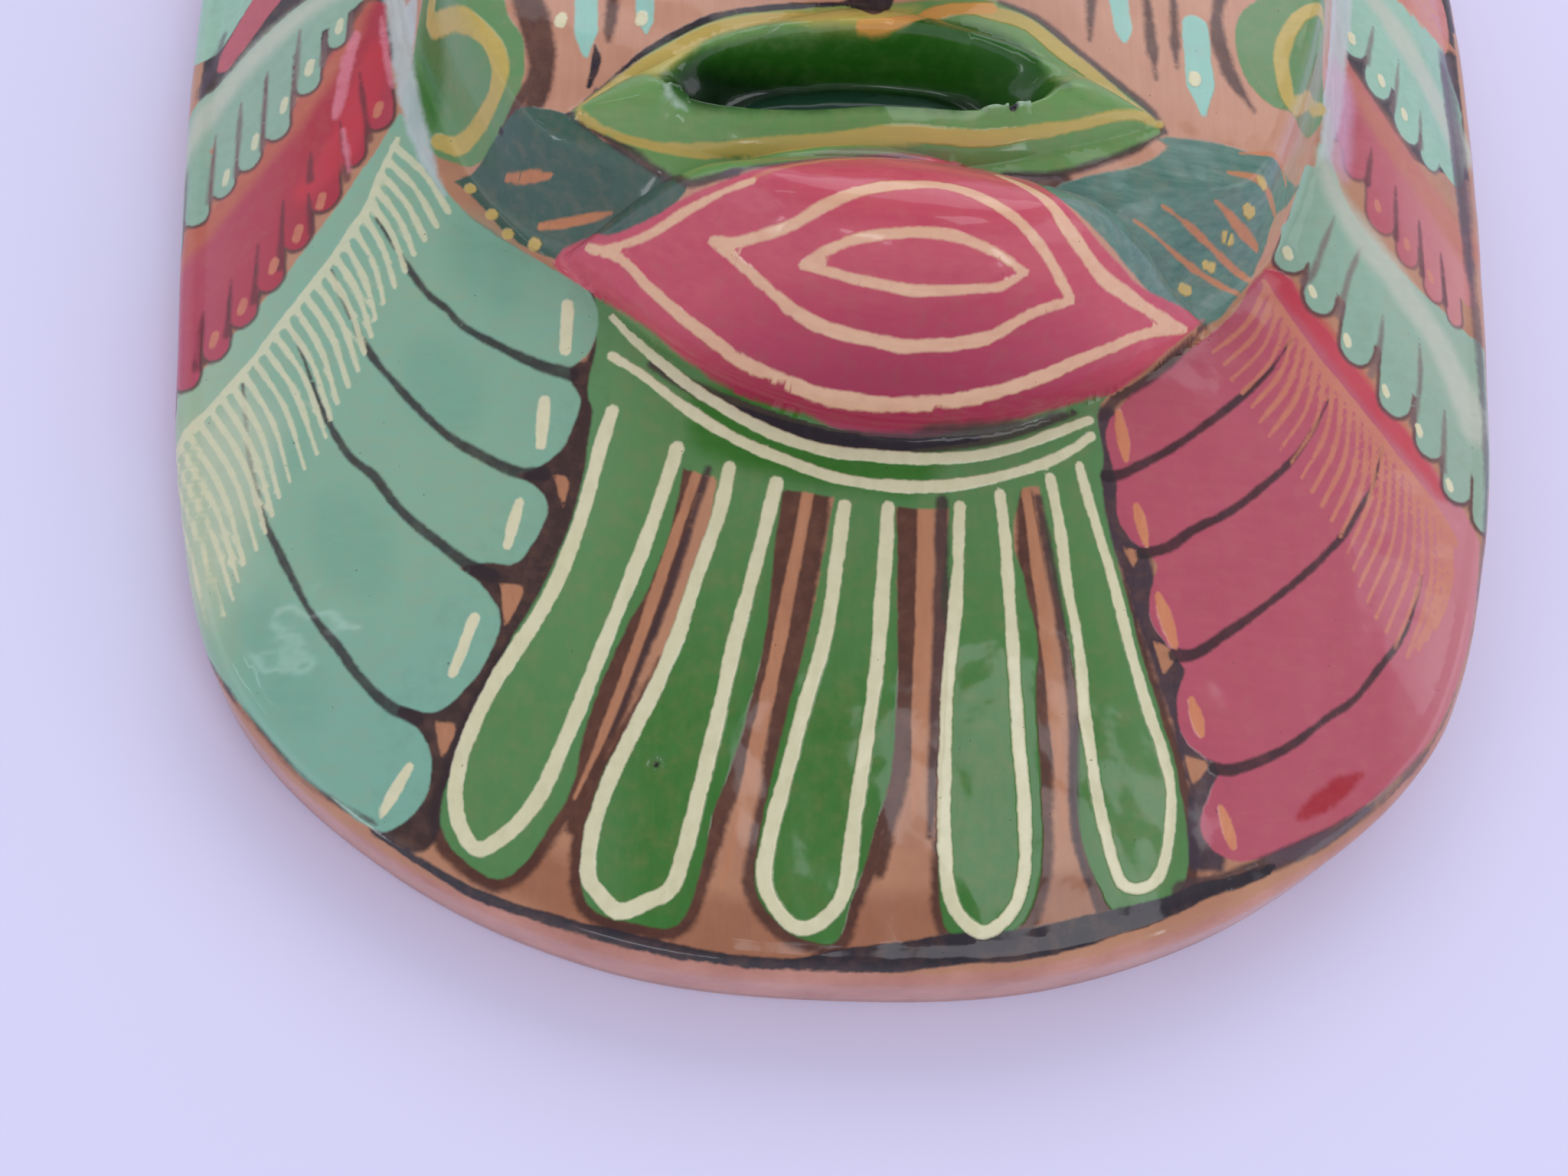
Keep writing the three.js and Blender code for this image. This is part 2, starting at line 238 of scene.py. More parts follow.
def slot_depth(x, y):
    """A steep lower wall, a slanting upper wall and a floor with a rounded roll along it."""
    share, along, across = slot_share(x, y)
    gentle = ease(SLOT["steep_below"], SLOT["gentle_above"], across)
    wall_from = SLOT["steep_from"] + (SLOT["gentle_from"] - SLOT["steep_from"]) * gentle
    wall_to = SLOT["steep_to"] + (SLOT["gentle_to"] - SLOT["steep_to"]) * gentle
    down = ease_long(wall_from, wall_to, share)
    hump = np.exp(-((across * SLOT["tall"] - SLOT["roll_dy"]) / SLOT["roll_tall"]) ** 2)
    roll = SLOT["roll"] * hump * ease(SLOT["roll_end"], SLOT["roll_full"], np.abs(along))
    return (SLOT["depth"] - roll) * down


def unevenness(x, y):
    """Never above 0, so that the surface stays inside the solid's own box."""
    rng = np.random.default_rng(SEED)
    total = np.zeros_like(x)
    for length, depth in UNEVEN:
        waves = np.zeros_like(x)
        for _ in range(WAVES_PER_SET):
            angle = rng.uniform(0, 2 * math.pi)
            phase = rng.uniform(0, 2 * math.pi)
            stretch = rng.uniform(*WAVE_STRETCH)
            k = 2 * math.pi / (length * stretch)
            waves += np.sin(k * (x * math.cos(angle) + y * math.sin(angle)) + phase)
        total += depth * (waves / math.sqrt(WAVES_PER_SET) - WAVES_LOWERED)
    return np.minimum(total, 0)


def plain_height(x, y):
    """Height of the front without the mouth slot and the small marks."""
    radius, angle, face, mask = place_of(x, y)
    inset = face - radius
    jaw = ease(JAW["gone_above"], JAW["full_below"], np.degrees(np.abs(angle)))
    slope = CHEEK_SLOPE + (JAW["slope"] - CHEEK_SLOPE) * jaw
    raised = CREASE_HEIGHT + FACE_RISE * ease(0, slope, inset) + FACE_CROWN * (1 - (radius / face) ** 2)
    dx = x - FACE_SHIFT
    features = lens(LIPS, x, y) + nose_height(dx, y)
    for side in (-1, 1):
        features = features + eye_height(dx, y, side) + nostril_height(dx, y, side)
    return np.where(inset > 0, raised + features, collar_height(radius, face, mask)) + lens(CHIN, x, y)


def front_height(x, y):
    hollow = slot_depth(x, y)
    for cx, cy, half_x, half_y, rise in GLAZE_BEADS:
        rounded = clamp01(1 - ((x - cx) / half_x) ** 2 - ((y - cy) / half_y) ** 2) ** BEAD_ROUND
        hollow = hollow - rise * rounded
    height = plain_height(x, y) - np.maximum(hollow, -BEAD_ABOVE)
    for cx, cy, radius, depth in PITS:
        height = height - depth * clamp01(1 - ((x - cx) ** 2 + (y - cy) ** 2) / radius ** 2)
    return height + unevenness(x, y)


def inside_height(x, y):
    radius, _, face, mask = place_of(x, y)
    rise = INSIDE["rise"] * ease(INSIDE["low"], INSIDE["high"], face - radius)
    return collar_height(radius, face, mask) + rise - WALL


def on_ray(angle, radius, shift=0.0):
    return shift + radius * np.sin(angle), CENTRE_Y - radius * np.cos(angle)


def face_point(angle, share):
    radius = share * radius_at(FACE_RADII, angle)
    return on_ray(angle, radius, face_middle(CENTRE_Y - radius * np.cos(angle)))


def collar_point(angle, share, inset):
    fx, fy = face_point(angle, 1.0)
    mx, my = on_ray(angle, radius_at(MASK_RADII, angle) - inset)
    return fx + (mx - fx) * share, fy + (my - fy) * share


# The mesh

# Distance between the front's points where the photograph shows it, and beyond.
FINE_STEP = 0.6
PLAIN_STEP = 0.95
PLAIN_ABOVE = 24.0
NEAREST = 0.55
RING_POINTS = 720
ROLL_RINGS = 6
SIDE_RINGS = 4
INSIDE_POINTS = 360
INSIDE_COLLAR_RINGS = 8
INSIDE_FACE_RINGS = 18
SKIN_INSET = 0.05
# Half the width and length of the lattice of points that the front's are chosen from.
LATTICE_X = 90.0
LATTICE_Y = 115.0
# Length along the foot's curve, as a share of its radius.
FOOT_UNROLLED = 1.4
# Lines of points that follow the steep edges of the reliefs and of the mouth slot.
LENS_LINES = [-1.0, -0.985, -0.95, -0.88, 0.97, 1.0]
LENS_LINE_STEP = 0.5
SLOT_LINES = [1.07, 1.03, 1.0, 0.965, 0.93, 0.89, 0.85, 0.8]
SLOT_LINE_STEP = 0.28
SLOT_LINE_PARTS = 4000
SHARP_ANGLE = 62.0
# Points also lie along the middle of thin strokes; how near one another points may lie.
THIN_STROKE = 1.1
STROKE_ROOM = 0.28
STEEP_ROOM = 0.1


def lens_line(shape, across, centre_x, centre_y):
    dx = np.arange(-shape["half"] + LENS_LINE_STEP, shape["half"], LENS_LINE_STEP)
    end = 1 - (np.abs(dx) / shape["half"]) ** shape["point"]
    dy = end * ((shape["up"] - shape["down"]) / 2 + across * (shape["up"] + shape["down"]) / 2)
    c, s = math.cos(math.radians(shape["turn"])), math.sin(math.radians(shape["turn"]))
    return np.column_stack([centre_x + dx * c - dy * s, centre_y + dx * s + dy * c])


def slot_line(share):
    """Evenly spaced points along the slot's outline, drawn in or out by a share."""
    angle = np.linspace(0, 2 * math.pi, SLOT_LINE_PARTS)
    power = 2 / SLOT["squareness"]
    dx = SLOT["dx"] + share * SLOT["half"] * np.sign(np.sin(angle)) * np.abs(np.sin(angle)) ** power
    dy = SLOT["dy"] + share * SLOT["tall"] * np.sign(np.cos(angle)) * np.abs(np.cos(angle)) ** power
    lengths = np.concatenate([[0], np.cumsum(np.hypot(np.diff(dx), np.diff(dy)))])
    even = np.arange(0, lengths[-1], SLOT_LINE_STEP)
    dx, dy = np.interp(even, lengths, dx), np.interp(even, lengths, dy)
    c, s = math.cos(math.radians(LIPS["turn"])), math.sin(math.radians(LIPS["turn"]))
    return np.column_stack([LIPS["x"] + dx * c - dy * s, LIPS["y"] + dx * s + dy * c])


def lattice(step, low, high):
    rows = np.arange(low, high, step * math.sqrt(3) / 2)
    columns = np.arange(-LATTICE_X, LATTICE_X, step)
    x, y = np.meshgrid(columns, rows)
    x = x + step / 2 * (np.arange(len(rows)) % 2)[:, None]
    return np.column_stack([x.ravel(), y.ravel()])


def front_points(border):
    """Plan points of the front: the border, lines along steep edges and thin strokes, and a lattice."""
    lines = [slot_line(share) for share in SLOT_LINES]
    for across in LENS_LINES:
        lines.append(lens_line(CHIN, across, CHIN["x"], CHIN["y"]))
        lines.append(lens_line(LIPS, across, LIPS["x"], LIPS["y"]))
        for side in (-1, 1):
            lines.append(lens_line(EYEBALL, across, FACE_SHIFT + side * EYE["apart"], EYE["y"]))
    steep = sum(len(line) for line in lines)
    for shapes in COATS.values():
        lines += [line for sort, line, half, _, _ in shapes if sort == "stroke" and half < THIN_STROKE]
    filling = [lattice(FINE_STEP, -LATTICE_Y, PLAIN_ABOVE),
               lattice(PLAIN_STEP, PLAIN_ABOVE + FINE_STEP / 2, LATTICE_Y)]
    candidates = np.concatenate(lines + filling)
    order = np.arange(len(candidates))
    own_line = order < sum(len(line) for line in lines)
    x, y = candidates[:, 0], candidates[:, 1]
    inset = radius_at(MASK_RADII, np.arctan2(x, CENTRE_Y - y)) - np.hypot(x, y - CENTRE_Y)
    room = np.where(y > PLAIN_ABOVE, PLAIN_STEP, FINE_STEP) * NEAREST
    room = np.where(own_line, STROKE_ROOM, room)
    room = np.where(order < steep, STEEP_ROOM, room)
    inside = inset > EDGE_ROUND + np.maximum(room, FINE_STEP * NEAREST)
    candidates, own_line, room = candidates[inside], own_line[inside], room[inside]
    points, cells = list(map(tuple, border)), {}
    for (px, py), near, on_line in zip(candidates.tolist(), room.tolist(), own_line.tolist()):
        cell = (int(px // 1), int(py // 1))
        beside = [(cell[0] + i, cell[1] + j) for i in (-1, 0, 1) for j in (-1, 0, 1)]
        around = [q for key in beside for q in cells.get(key, ())]
        if all((px - qx) ** 2 + (py - qy) ** 2 > near * near for qx, qy in around):
            points.append((px, py))
            if on_line:
                cells.setdefault(cell, []).append((px, py))
    return points


class Skin:
    """Points and triangles of the mask's whole surface, with the place of each point when unrolled."""

    def __init__(self):
        self.points, self.flat, self.kind, self.faces = [], [], [], []

    def add(self, x, y, z, flat_x, flat_y, kind):
        start = len(self.points)
        self.points += np.column_stack([x, y, z]).tolist()
        self.flat += np.column_stack([flat_x, flat_y]).tolist()
        self.kind += [kind] * len(x)
        return list(range(start, len(self.points)))

    def strip(self, inner, outer):
        ratio = len(inner) // len(outer)
        for i in range(len(outer)):
            far, far_next = outer[i], outer[(i + 1) % len(outer)]
            near = [inner[(i * ratio + k) % len(inner)] for k in range(ratio + 1)]
            for a, b in zip(near, near[1:]):
                self.faces.append((a, far, b))
            self.faces.append((near[-1], far, far_next))


FRONT, SIDE, BACK = 0, 1, 2


def add_front(skin):
    angle = np.arange(RING_POINTS) * 2 * math.pi / RING_POINTS
    border = np.column_stack(on_ray(angle, radius_at(MASK_RADII, angle) - EDGE_ROUND))
    points = front_points(border)
    count = len(border)
    vectors = [Vector(p) for p in points]
    corners, _, faces, origin, _, _ = delaunay_2d_cdt(vectors, [], [list(range(count))], 1, 1e-6)
    x, y = np.array([c.x for c in corners]), np.array([c.y for c in corners])
    skin.add(x, y, front_height(x, y), x, y, FRONT)
    skin.faces += [tuple(face) for face in faces]
    place = {source: i for i, sources in enumerate(origin) for source in sources}
    return angle, [place[i] for i in range(count)]


def add_edge(skin, angle, ring):
    """The rolled edge, the upright side and the slightly rounded foot."""
    outline = radius_at(MASK_RADII, angle) - SKIN_INSET
    top = front_height(*on_ray(angle, outline - EDGE_ROUND))
    rows = []
    for i in range(1, ROLL_RINGS + 1):
        turn = math.pi / 2 * i / ROLL_RINGS
        drop = EDGE_ROUND * (1 - math.cos(turn))
        rows.append((EDGE_ROUND * (1 - math.sin(turn)), top - drop, EDGE_ROUND * turn))
    shoulder = top - EDGE_ROUND
    for i in range(1, SIDE_RINGS + 1):
        height = shoulder + (FOOT_ROUND - shoulder) * i / SIDE_RINGS
        rows.append((0.0, height, EDGE_ROUND * math.pi / 2 + (shoulder - height)))
    rows.append((FOOT_ROUND, np.zeros_like(angle), rows[-1][2] + FOOT_ROUND * FOOT_UNROLLED))
    for inset, height, along in rows:
        x, y = on_ray(angle, outline - inset)
        flat_x, flat_y = on_ray(angle, outline - EDGE_ROUND + along)
        next_ring = skin.add(x, y, height + 0 * angle, flat_x, flat_y, SIDE)
        skin.strip(ring, next_ring)
        ring = next_ring
    return ring


def add_back(skin, ring):
    angle = np.arange(INSIDE_POINTS) * 2 * math.pi / INSIDE_POINTS
    x, y = on_ray(angle, radius_at(MASK_RADII, angle) - RIM_WIDTH)
    rows = [(x, y, np.zeros_like(angle))]
    for i in range(INSIDE_COLLAR_RINGS, 0, -1):
        x, y = collar_point(angle, i / INSIDE_COLLAR_RINGS, RIM_WIDTH + INSIDE_CORNER)
        rows.append((x, y, inside_height(x, y)))
    for i in range(INSIDE_FACE_RINGS - 1, 0, -1):
        x, y = face_point(angle, i / INSIDE_FACE_RINGS)
        rows.append((x, y, inside_height(x, y)))
    for x, y, z in rows:
        next_ring = skin.add(x, y, z, x, y, BACK)
        skin.strip(ring, next_ring)
        ring = next_ring
    middle_x, middle_y = np.array([face_middle(CENTRE_Y)]), np.array([CENTRE_Y])
    tip = skin.add(middle_x, middle_y, inside_height(middle_x, middle_y), middle_x, middle_y, BACK)[0]
    for a, b in zip(ring, ring[1:] + ring[:1]):
        skin.faces.append((a, tip, b))


# Where the unrolled front and the back lie on the baking map, and their scales.
FRONT_SCALE = 1 / 300
BACK_SCALE = 1 / 505
FRONT_PLACE = (0.335, 0.42)
BACK_PLACE = (0.83, 0.23)


def build_mask():
    skin = Skin()
    angle, ring = add_front(skin)
    ring = add_edge(skin, angle, ring)
    add_back(skin, ring)
    points = np.array(skin.points)
    points[:, 2] = np.clip(points[:, 2], 0, CAD_BOX[1].z / MM)
    mesh = bpy.data.meshes.new("painted_mask")
    mesh.from_pydata((points * MM).tolist(), [], skin.faces)
    mesh.validate()
    mesh.polygons.foreach_set("use_smooth", [True] * len(mesh.polygons))
    mesh.set_sharp_from_angle(angle=math.radians(SHARP_ANGLE))
    piece = bpy.data.objects.new("painted_mask", mesh)
    bpy.context.scene.collection.objects.link(piece)
    return piece, points, np.array(skin.flat), np.array(skin.kind)


# The painting: each coat of paint is a signed distance in millimetres, below 0 where the paint lies.
# Points are read as real places on the mask, seen square on.

FAR = 6.0
CURVE_STEP = 0.6
# How far past a thin stroke its distance is worked out, and the steepest slope that is allowed for.
STROKE_REACH = 2.2
STEEPEST = 0.85
# How many times as wide as named a stroke is allowed to be, and the step that the slope is taken over.
WIDEST_END = 1.7
TILT_STEP = 0.2
COATS = {}


def curve(points, closed=False):
    """A smooth line through the points, cut into short straight steps."""
    p = np.array(points, float)
    if len(p) < 3:
        return np.linspace(p[0], p[1], max(2, int(math.dist(p[0], p[1]) / CURVE_STEP) + 1))
    ends = (p[-1:], p[:2]) if closed else (2 * p[:1] - p[1:2], 2 * p[-1:] - p[-2:-1])
    full = np.concatenate([ends[0], p, ends[1]])
    pieces = []
    for before, a, b, after in zip(full, full[1:], full[2:], full[3:]):
        steps = max(2, int(math.dist(a, b) / CURVE_STEP))
        t = np.arange(steps)[:, None] / steps
        bend = 2 * before - 5 * a + 4 * b - after
        twist = 3 * a - before - 3 * b + after
        pieces.append(0.5 * (2 * a + (b - before) * t + bend * t ** 2 + twist * t ** 3))
    pieces.append(full[-2:-1] if not closed else full[1:2])
    return np.concatenate(pieces)


def stroke(coat, points, width, start=1.0, end=1.0):
    """A brush stroke; start and end are the shares of its width that it has at its two ends."""
    COATS.setdefault(coat, []).append(("stroke", curve(points), width / 2, start, end))


def area(coat, *runs):
    """A filled shape: each run of points is smooth, and they meet in corners."""
    COATS.setdefault(coat, []).append(("area", np.concatenate([curve(run) for run in runs]), 0, 1, 1))


def blob(coat, points):
    """A filled shape with a smooth outline all round."""
    COATS.setdefault(coat, []).append(("area", curve(points, closed=True), 0, 1, 1))


def dot(coat, x, y, half, long=1.0, degrees=0.0):
    reach = max(half * (long - 1), 0.01)
    c, s = math.cos(math.radians(degrees)), math.sin(math.radians(degrees))
    stroke(coat, [(x - reach * c, y - reach * s), (x + reach * c, y + reach * s)], half * 2)


def along(line, share):
    """The point at a share of a line's length."""
    lengths = np.concatenate([[0], np.cumsum(np.hypot(*np.diff(line, axis=0).T))])
    target = share * lengths[-1]
    return np.array([np.interp(target, lengths, line[:, 0]), np.interp(target, lengths, line[:, 1])])


def comb(coat, spine, ends, count, width, sag=0.0, start=0.9, end=0.6):
    """Barbs drawn from a spine to a line of ends, each one curved a little."""
    spine, ends = curve(spine), curve(ends)
    for share in (np.arange(count) + 0.5) / count:
        a, b = along(spine, share), along(ends, share)
        middle = (a + b) / 2 + sag * np.array([b[1] - a[1], a[0] - b[0]])
        stroke(coat, [a, middle, b], width, start, end)


def lobes(coat, shade, rows, gap=1.0):
    """Round-ended barbs side by side, each from its root to the middle of its tip, over a dark edge."""
    for root, tip, half in rows:
        root, tip = np.array(root, float), np.array(tip, float)
        stroke(coat, [root, tip], half * 2, 0.9, 1.0)
        stroke(shade, [root + (tip - root) * 0.6, tip], half * 2 + gap, 0.9, 1.0)


def distance_to(shape, x, y, tilt_x, tilt_y):
    """Signed distance along the surface: across a slope, a step in the plan counts for its real length."""
    sort, line, half, start, end = shape
    steps = np.hypot(*np.diff(line, axis=0).T)
    total, gone = max(steps.sum(), 1e-6), 0.0
    best, inside = np.full(len(x), 1e9), np.zeros(len(x), bool)
    closed = sort == "area"
    segments = list(zip(line, line[1:])) + ([(line[-1], line[0])] if closed else [])
    for a, b in segments:
        ab = b - a
        length = math.hypot(*ab)
        t = clamp01(((x - a[0]) * ab[0] + (y - a[1]) * ab[1]) / max(length * length, 1e-12))
        off_x, off_y = x - a[0] - t * ab[0], y - a[1] - t * ab[1]
        gap = np.hypot(off_x, off_y)
        lean = (off_x * tilt_x + off_y * tilt_y) / np.maximum(gap, 1e-6)
        gap = gap / np.sqrt(1 - np.minimum(lean * lean, STEEPEST))
        if closed:
            best = np.minimum(best, gap)
            crosses = (a[1] > y) != (b[1] > y)
            rise = ab[1] if abs(ab[1]) > 1e-9 else 1e-9
            inside ^= crosses & (x < a[0] + (y - a[1]) * ab[0] / rise)
        else:
            share = (gone + t * length) / total
            taper = start + (1 - start) * clamp01(share * 3) + (end - 1) * clamp01(share * 3 - 2)
            best = np.minimum(best, gap - half * taper)
            gone += length
    return np.where(inside, -best, best)


def coat_distance(shapes, x, y, tilt):
    result = np.full(len(x), FAR)
    for shape in shapes:
        reach = FAR if shape[0] == "area" else shape[2] * WIDEST_END + STROKE_REACH
        low, high = shape[1].min(0) - reach, shape[1].max(0) + reach
        near = np.nonzero((x > low[0]) & (x < high[0]) & (y > low[1]) & (y < high[1]))[0]
        if len(near):
            here = distance_to(shape, x[near], y[near], *tilt[near].T)
            result[near] = np.minimum(result[near], here)
    return np.maximum(result, -FAR)


def plan_tilt(x, y):
    """The level part of the surface's unit normal."""
    slope_x = (plain_height(x - TILT_STEP, y) - plain_height(x + TILT_STEP, y)) / (2 * TILT_STEP)
    slope_y = (plain_height(x, y - TILT_STEP) - plain_height(x, y + TILT_STEP)) / (2 * TILT_STEP)
    return np.column_stack([slope_x, slope_y]) / np.sqrt(1 + slope_x ** 2 + slope_y ** 2)[:, None]


def paint_left_fan():
    """The large mint fan at the lower left, with its cream quill and barbs."""
    barbs = [[(-55, -11.7), (-52.5, -16), (-49.5, -21.5), (-46.1, -25.7), (-39.9, -30.2), (-34.8, -33.3),
              (-32.1, -34.8), (-30.6, -37.4), (-30.4, -40.5), (-31.3, -43.5), (-33.2, -45)],
             [(-33.1, -46.7), (-31.8, -48.9), (-32.4, -51.8), (-33.8, -54.7), (-36.3, -56.5)],
             [(-38.5, -57.2), (-36, -58.7), (-34.7, -60.9), (-35.6, -64.1), (-37.8, -67.2), (-41.1, -67)],
             [(-44.3, -67.4), (-41.1, -69.9), (-39.2, -73.2), (-40.3, -77.5), (-42.9, -81.1),
              (-45.8, -83), (-49.4, -82.4)],
             [(-50.1, -83), (-47.2, -84.9), (-45.7, -88.4), (-46.5, -92.4), (-50.1, -95.5),
              (-53.7, -94.2)]]
    outside = [(-60.3, -89.5), (-67, -82.5), (-73, -76.5), (-84, -70), (-98, -58), (-98, -46)]
    top = [(-78.3, -41.6), (-75.7, -38.9), (-71.5, -34.4), (-67.7, -30.6), (-65.1, -27.2), (-61.7, -23),
           (-59.8, -20), (-57.5, -16.6), (-55, -11.7)]
    area("mint1", *barbs, outside, top)
    area("ink_under",
         [(-34, -44), (-28.6, -46), (-30.2, -59), (-33.5, -68), (-37, -75), (-41.2, -83), (-43.5, -92),
          (-46, -97.5), (-52, -96)], [(-52, -84), (-44, -68), (-37, -56), (-34, -44)])
    for triangle in ([(-34.4, -57.2), (-32.6, -57.8), (-33, -61)],
                     [(-39.4, -69.4), (-36.8, -70), (-38.6, -74)],
                     [(-45.6, -84), (-43.2, -84.6), (-44.6, -88)]):
        area("strip", triangle)
    spine = [(-55, -15.5), (-56.7, -19.6), (-57.9, -23.8), (-59.8, -26.8), (-62.8, -31), (-66.4, -35.5),
             (-70, -40), (-73.8, -44.2), (-77.8, -48.4), (-83, -54)]
    ends = [(-47.6, -24.5), (-49.7, -27.2), (-50.9, -28.9), (-52, -30.6), (-53.1, -32.9), (-54.3, -34.8),
            (-55.6, -37), (-56.2, -39.9), (-56.9, -42.2), (-57.5, -44.2), (-58.6, -46.1), (-59.8, -48),
            (-60.3, -50.9), (-61.3, -53.2), (-62.6, -54.9), (-64.2, -56.3), (-65.2, -57.8), (-67, -63.4),
            (-68.6, -65.2), (-69.9, -70.6), (-73, -73)]
    stroke("cream_soft", spine, 1.15, 0.6, 1.2)
    comb("cream_soft", spine, ends, 27, 0.74, sag=-0.05, start=1.25, end=0.75)
    area("cream_haze", [(-71, -44.5), (-66, -49), (-68, -60), (-72, -72)],
         [(-86, -66), (-92, -52), (-80, -50)])
    for line in ([(-56.7, -25.3), (-54.8, -28.3), (-52.6, -31.7), (-50.1, -35.2), (-47.6, -37.4),
                  (-45.4, -39.7), (-40.4, -42.7), (-36.7, -44.6), (-32.9, -45.8)],
                 [(-61.7, -30.8), (-60.5, -33.6), (-58.2, -38.2), (-56, -42), (-52.9, -45.8),
                  (-49.2, -49.8), (-45.8, -52.9), (-42.1, -55.1), (-38.5, -56.9), (-35.3, -57.2)],
                 [(-66, -37), (-63.9, -41.6), (-61.7, -46.8), (-59.9, -50.3), (-57.4, -54),
                  (-54.5, -56.5), (-51.9, -59.8), (-49.4, -62.3), (-45.8, -65.2), (-42.9, -67.4),
                  (-40.3, -68.5)],
                 [(-71.3, -43.1), (-69.5, -52.2), (-68.2, -56.5), (-66.8, -60.5), (-64.6, -64.5),
                  (-61.7, -69.6), (-59.5, -72.8), (-56.6, -76.1), (-54.5, -78.8), (-51.2, -81.9),
                  (-47.6, -83.7)]):
        stroke("ink_thin", line, 0.9, 0.35, 1.7)
    stroke("ink_under",
           [(-52.4, -21.6), (-47, -26.4), (-40.5, -31.5), (-35, -34.8), (-31.2, -36.6), (-29.4, -40),
            (-30.4, -44.4)], 2.6, 0.4, 0.8)
    for a, b, width in (((-46, -28), (-41, -36), 7), ((-50, -43), (-45, -50), 8), ((-59, -60), (-54, -68), 9),
                        ((-66, -72), (-60, -82), 8), ((-68, -47), (-64, -54), 5)):
        stroke("mint_patch", [a, b], width, 0.6, 0.6)
    for a, b, width in (((-33.9, -37.3), (-33.8, -43), 1.5), ((-35.8, -48.8), (-35.9, -53.9), 1.5),
                        ((-37.9, -60.3), (-38.9, -65.2), 1.3), ((-42, -73), (-44, -79), 1.3),
                        ((-48.1, -88.6), (-50.8, -93.6), 1.2)):
        stroke("cream", [a, b], width, 0.9, 0.8)


def paint_left_feathers():
    """The small red and mint feathers above the left fan."""
    lobes("red1", "dark0",
          [((-59, -3), (-57.6, -12.1), 1.9), ((-61.2, -8), (-60.4, -16.4), 1.6),
           ((-64.6, -13), (-63.6, -20.8), 2.3), ((-67.6, -17), (-66.4, -25.2), 2.0),
           ((-70.5, -21), (-69.4, -29.8), 2.0), ((-73.6, -25), (-72.3, -33.4), 2.0),
           ((-76.8, -28), (-75.4, -37), 2.0), ((-80, -31), (-78.8, -40.4), 2.0),
           ((-84, -34), (-83, -44.4), 2.2)])
    area("red1", [(-60, 4), (-65, -3.5), (-69, -8.6), (-74, -14.2), (-80, -20), (-94, -32)],
         [(-94, -46), (-82, -38), (-73, -29), (-66, -21), (-61.5, -12), (-58, -6), (-57.6, 3.4)])
    stroke("red_bright", [(-58.4, -3), (-59.6, -9), (-62, -15.6), (-66, -20)], 4.6, 0.6, 0.6)
    stroke("orange_low",
           [(-60, 4), (-63, -2.6), (-66.6, -7.6), (-71, -12.4), (-76, -17.4), (-82, -23), (-90, -30)],
           3.8, 0.3, 1.5)
    stroke("rose", [(-61.4, -0.5), (-62.2, -5), (-62.9, -11)], 1.7, 0.5, 0.6)
    stroke("rose", [(-61.8, -13), (-61.2, -16), (-60.6, -18.6)], 0.8, 0.6, 0.6)
    stroke("rose", [(-58.4, 1.5), (-57.4, -3.6), (-56.2, -8.6)], 0.9, 0.6, 0.5)
    for line in ([(-60.4, -6), (-59.6, -10), (-58.4, -15)],
                 [(-62.3, -12), (-61.2, -16.6), (-60.8, -19.6)], [(-65.7, -15), (-65.4, -18.6)],
                 [(-65.4, -20.5), (-64.6, -25.4)], [(-68.6, -20.5), (-68.2, -29)],
                 [(-71.4, -25), (-71.1, -32.6)], [(-74.4, -29), (-74.1, -36)],
                 [(-77.6, -32), (-77.5, -39.6)]):
        stroke("gap_red", line, 0.8, 0.25, 1.5)
    for x, y in ((-57.7, -11.4), (-63.7, -21.8), (-66.3, -25.2), (-69, -28.6), (-72.5, -32.8),
                 (-75.8, -36.2)):
        dot("orange", x, y, 0.62, 1.9, 78)
    lobes("mint2", "dark1",
          [((-63.7, 4), (-63.8, -0.3), 1.25), ((-67.4, 2), (-67, -5.2), 1.8),
           ((-71, 0), (-70.5, -10), 1.95), ((-74.5, -2), (-73.9, -12.8), 1.9),
           ((-77.7, -4), (-77, -15.2), 1.9), ((-81.2, -8), (-80.4, -18), 2.1),
           ((-85.4, -10), (-84.8, -22), 2.2)], 0.9)
    area("mint2", [(-60.6, 4.6), (-64, 7.5), (-68.8, 6.6), (-75, 3), (-80, -1), (-92, -10)],
         [(-90, -20), (-80, -10), (-72, -2), (-64, 2), (-60.6, 4.6)])
    for line in ([(-62.3, 3.2), (-62.1, -0.6)], [(-65.4, 1), (-65.3, -3.4)], [(-68.8, 2.5), (-68.6, -8)],
                 [(-72.6, -2), (-72.2, -12.4)], [(-75.8, -5), (-75.4, -14.8)], [(-78.9, -8), (-78.7, -17)],
                 [(-83, -10), (-82.6, -20)]):
        stroke("gap_mint", line, 0.9, 0.4, 1.2)
    stroke("cream_wash",
           [(-62, 6.4), (-66, 6), (-70.6, 4), (-75.6, 0.6), (-79.6, -3.6), (-84, -9), (-90, -16)], 3.6,
           0.4, 1.6)
    for x, y in ((-63.6, 1.4), (-66.9, -3.4), (-69.8, -7.6), (-73.2, -11.2), (-76.7, -14.6)):
        dot("cream_soft", x, y, 0.6, 2.0, 84)
    area("red2", [(-68, 14), (-71, 9.6), (-73.6, 6.4), (-76.4, 3.4), (-78.6, 1), (-80, 1.6)],
         [(-80, 4), (-77, 9), (-73, 15), (-68, 14)])
    area("mint3", [(-73, 15), (-77, 9), (-80.4, 4.4), (-84, 4), (-92, 10)], [(-92, 20), (-82, 18), (-73, 15)])
    area("mint3", [(-62, 6), (-67, 9), (-68, 14)], [(-66, 20), (-62, 16)])
    stroke("ink_faint", [(-79.6, 7), (-80.6, 2.6), (-82, -1.6)], 1.5, 0.5, 0.8)


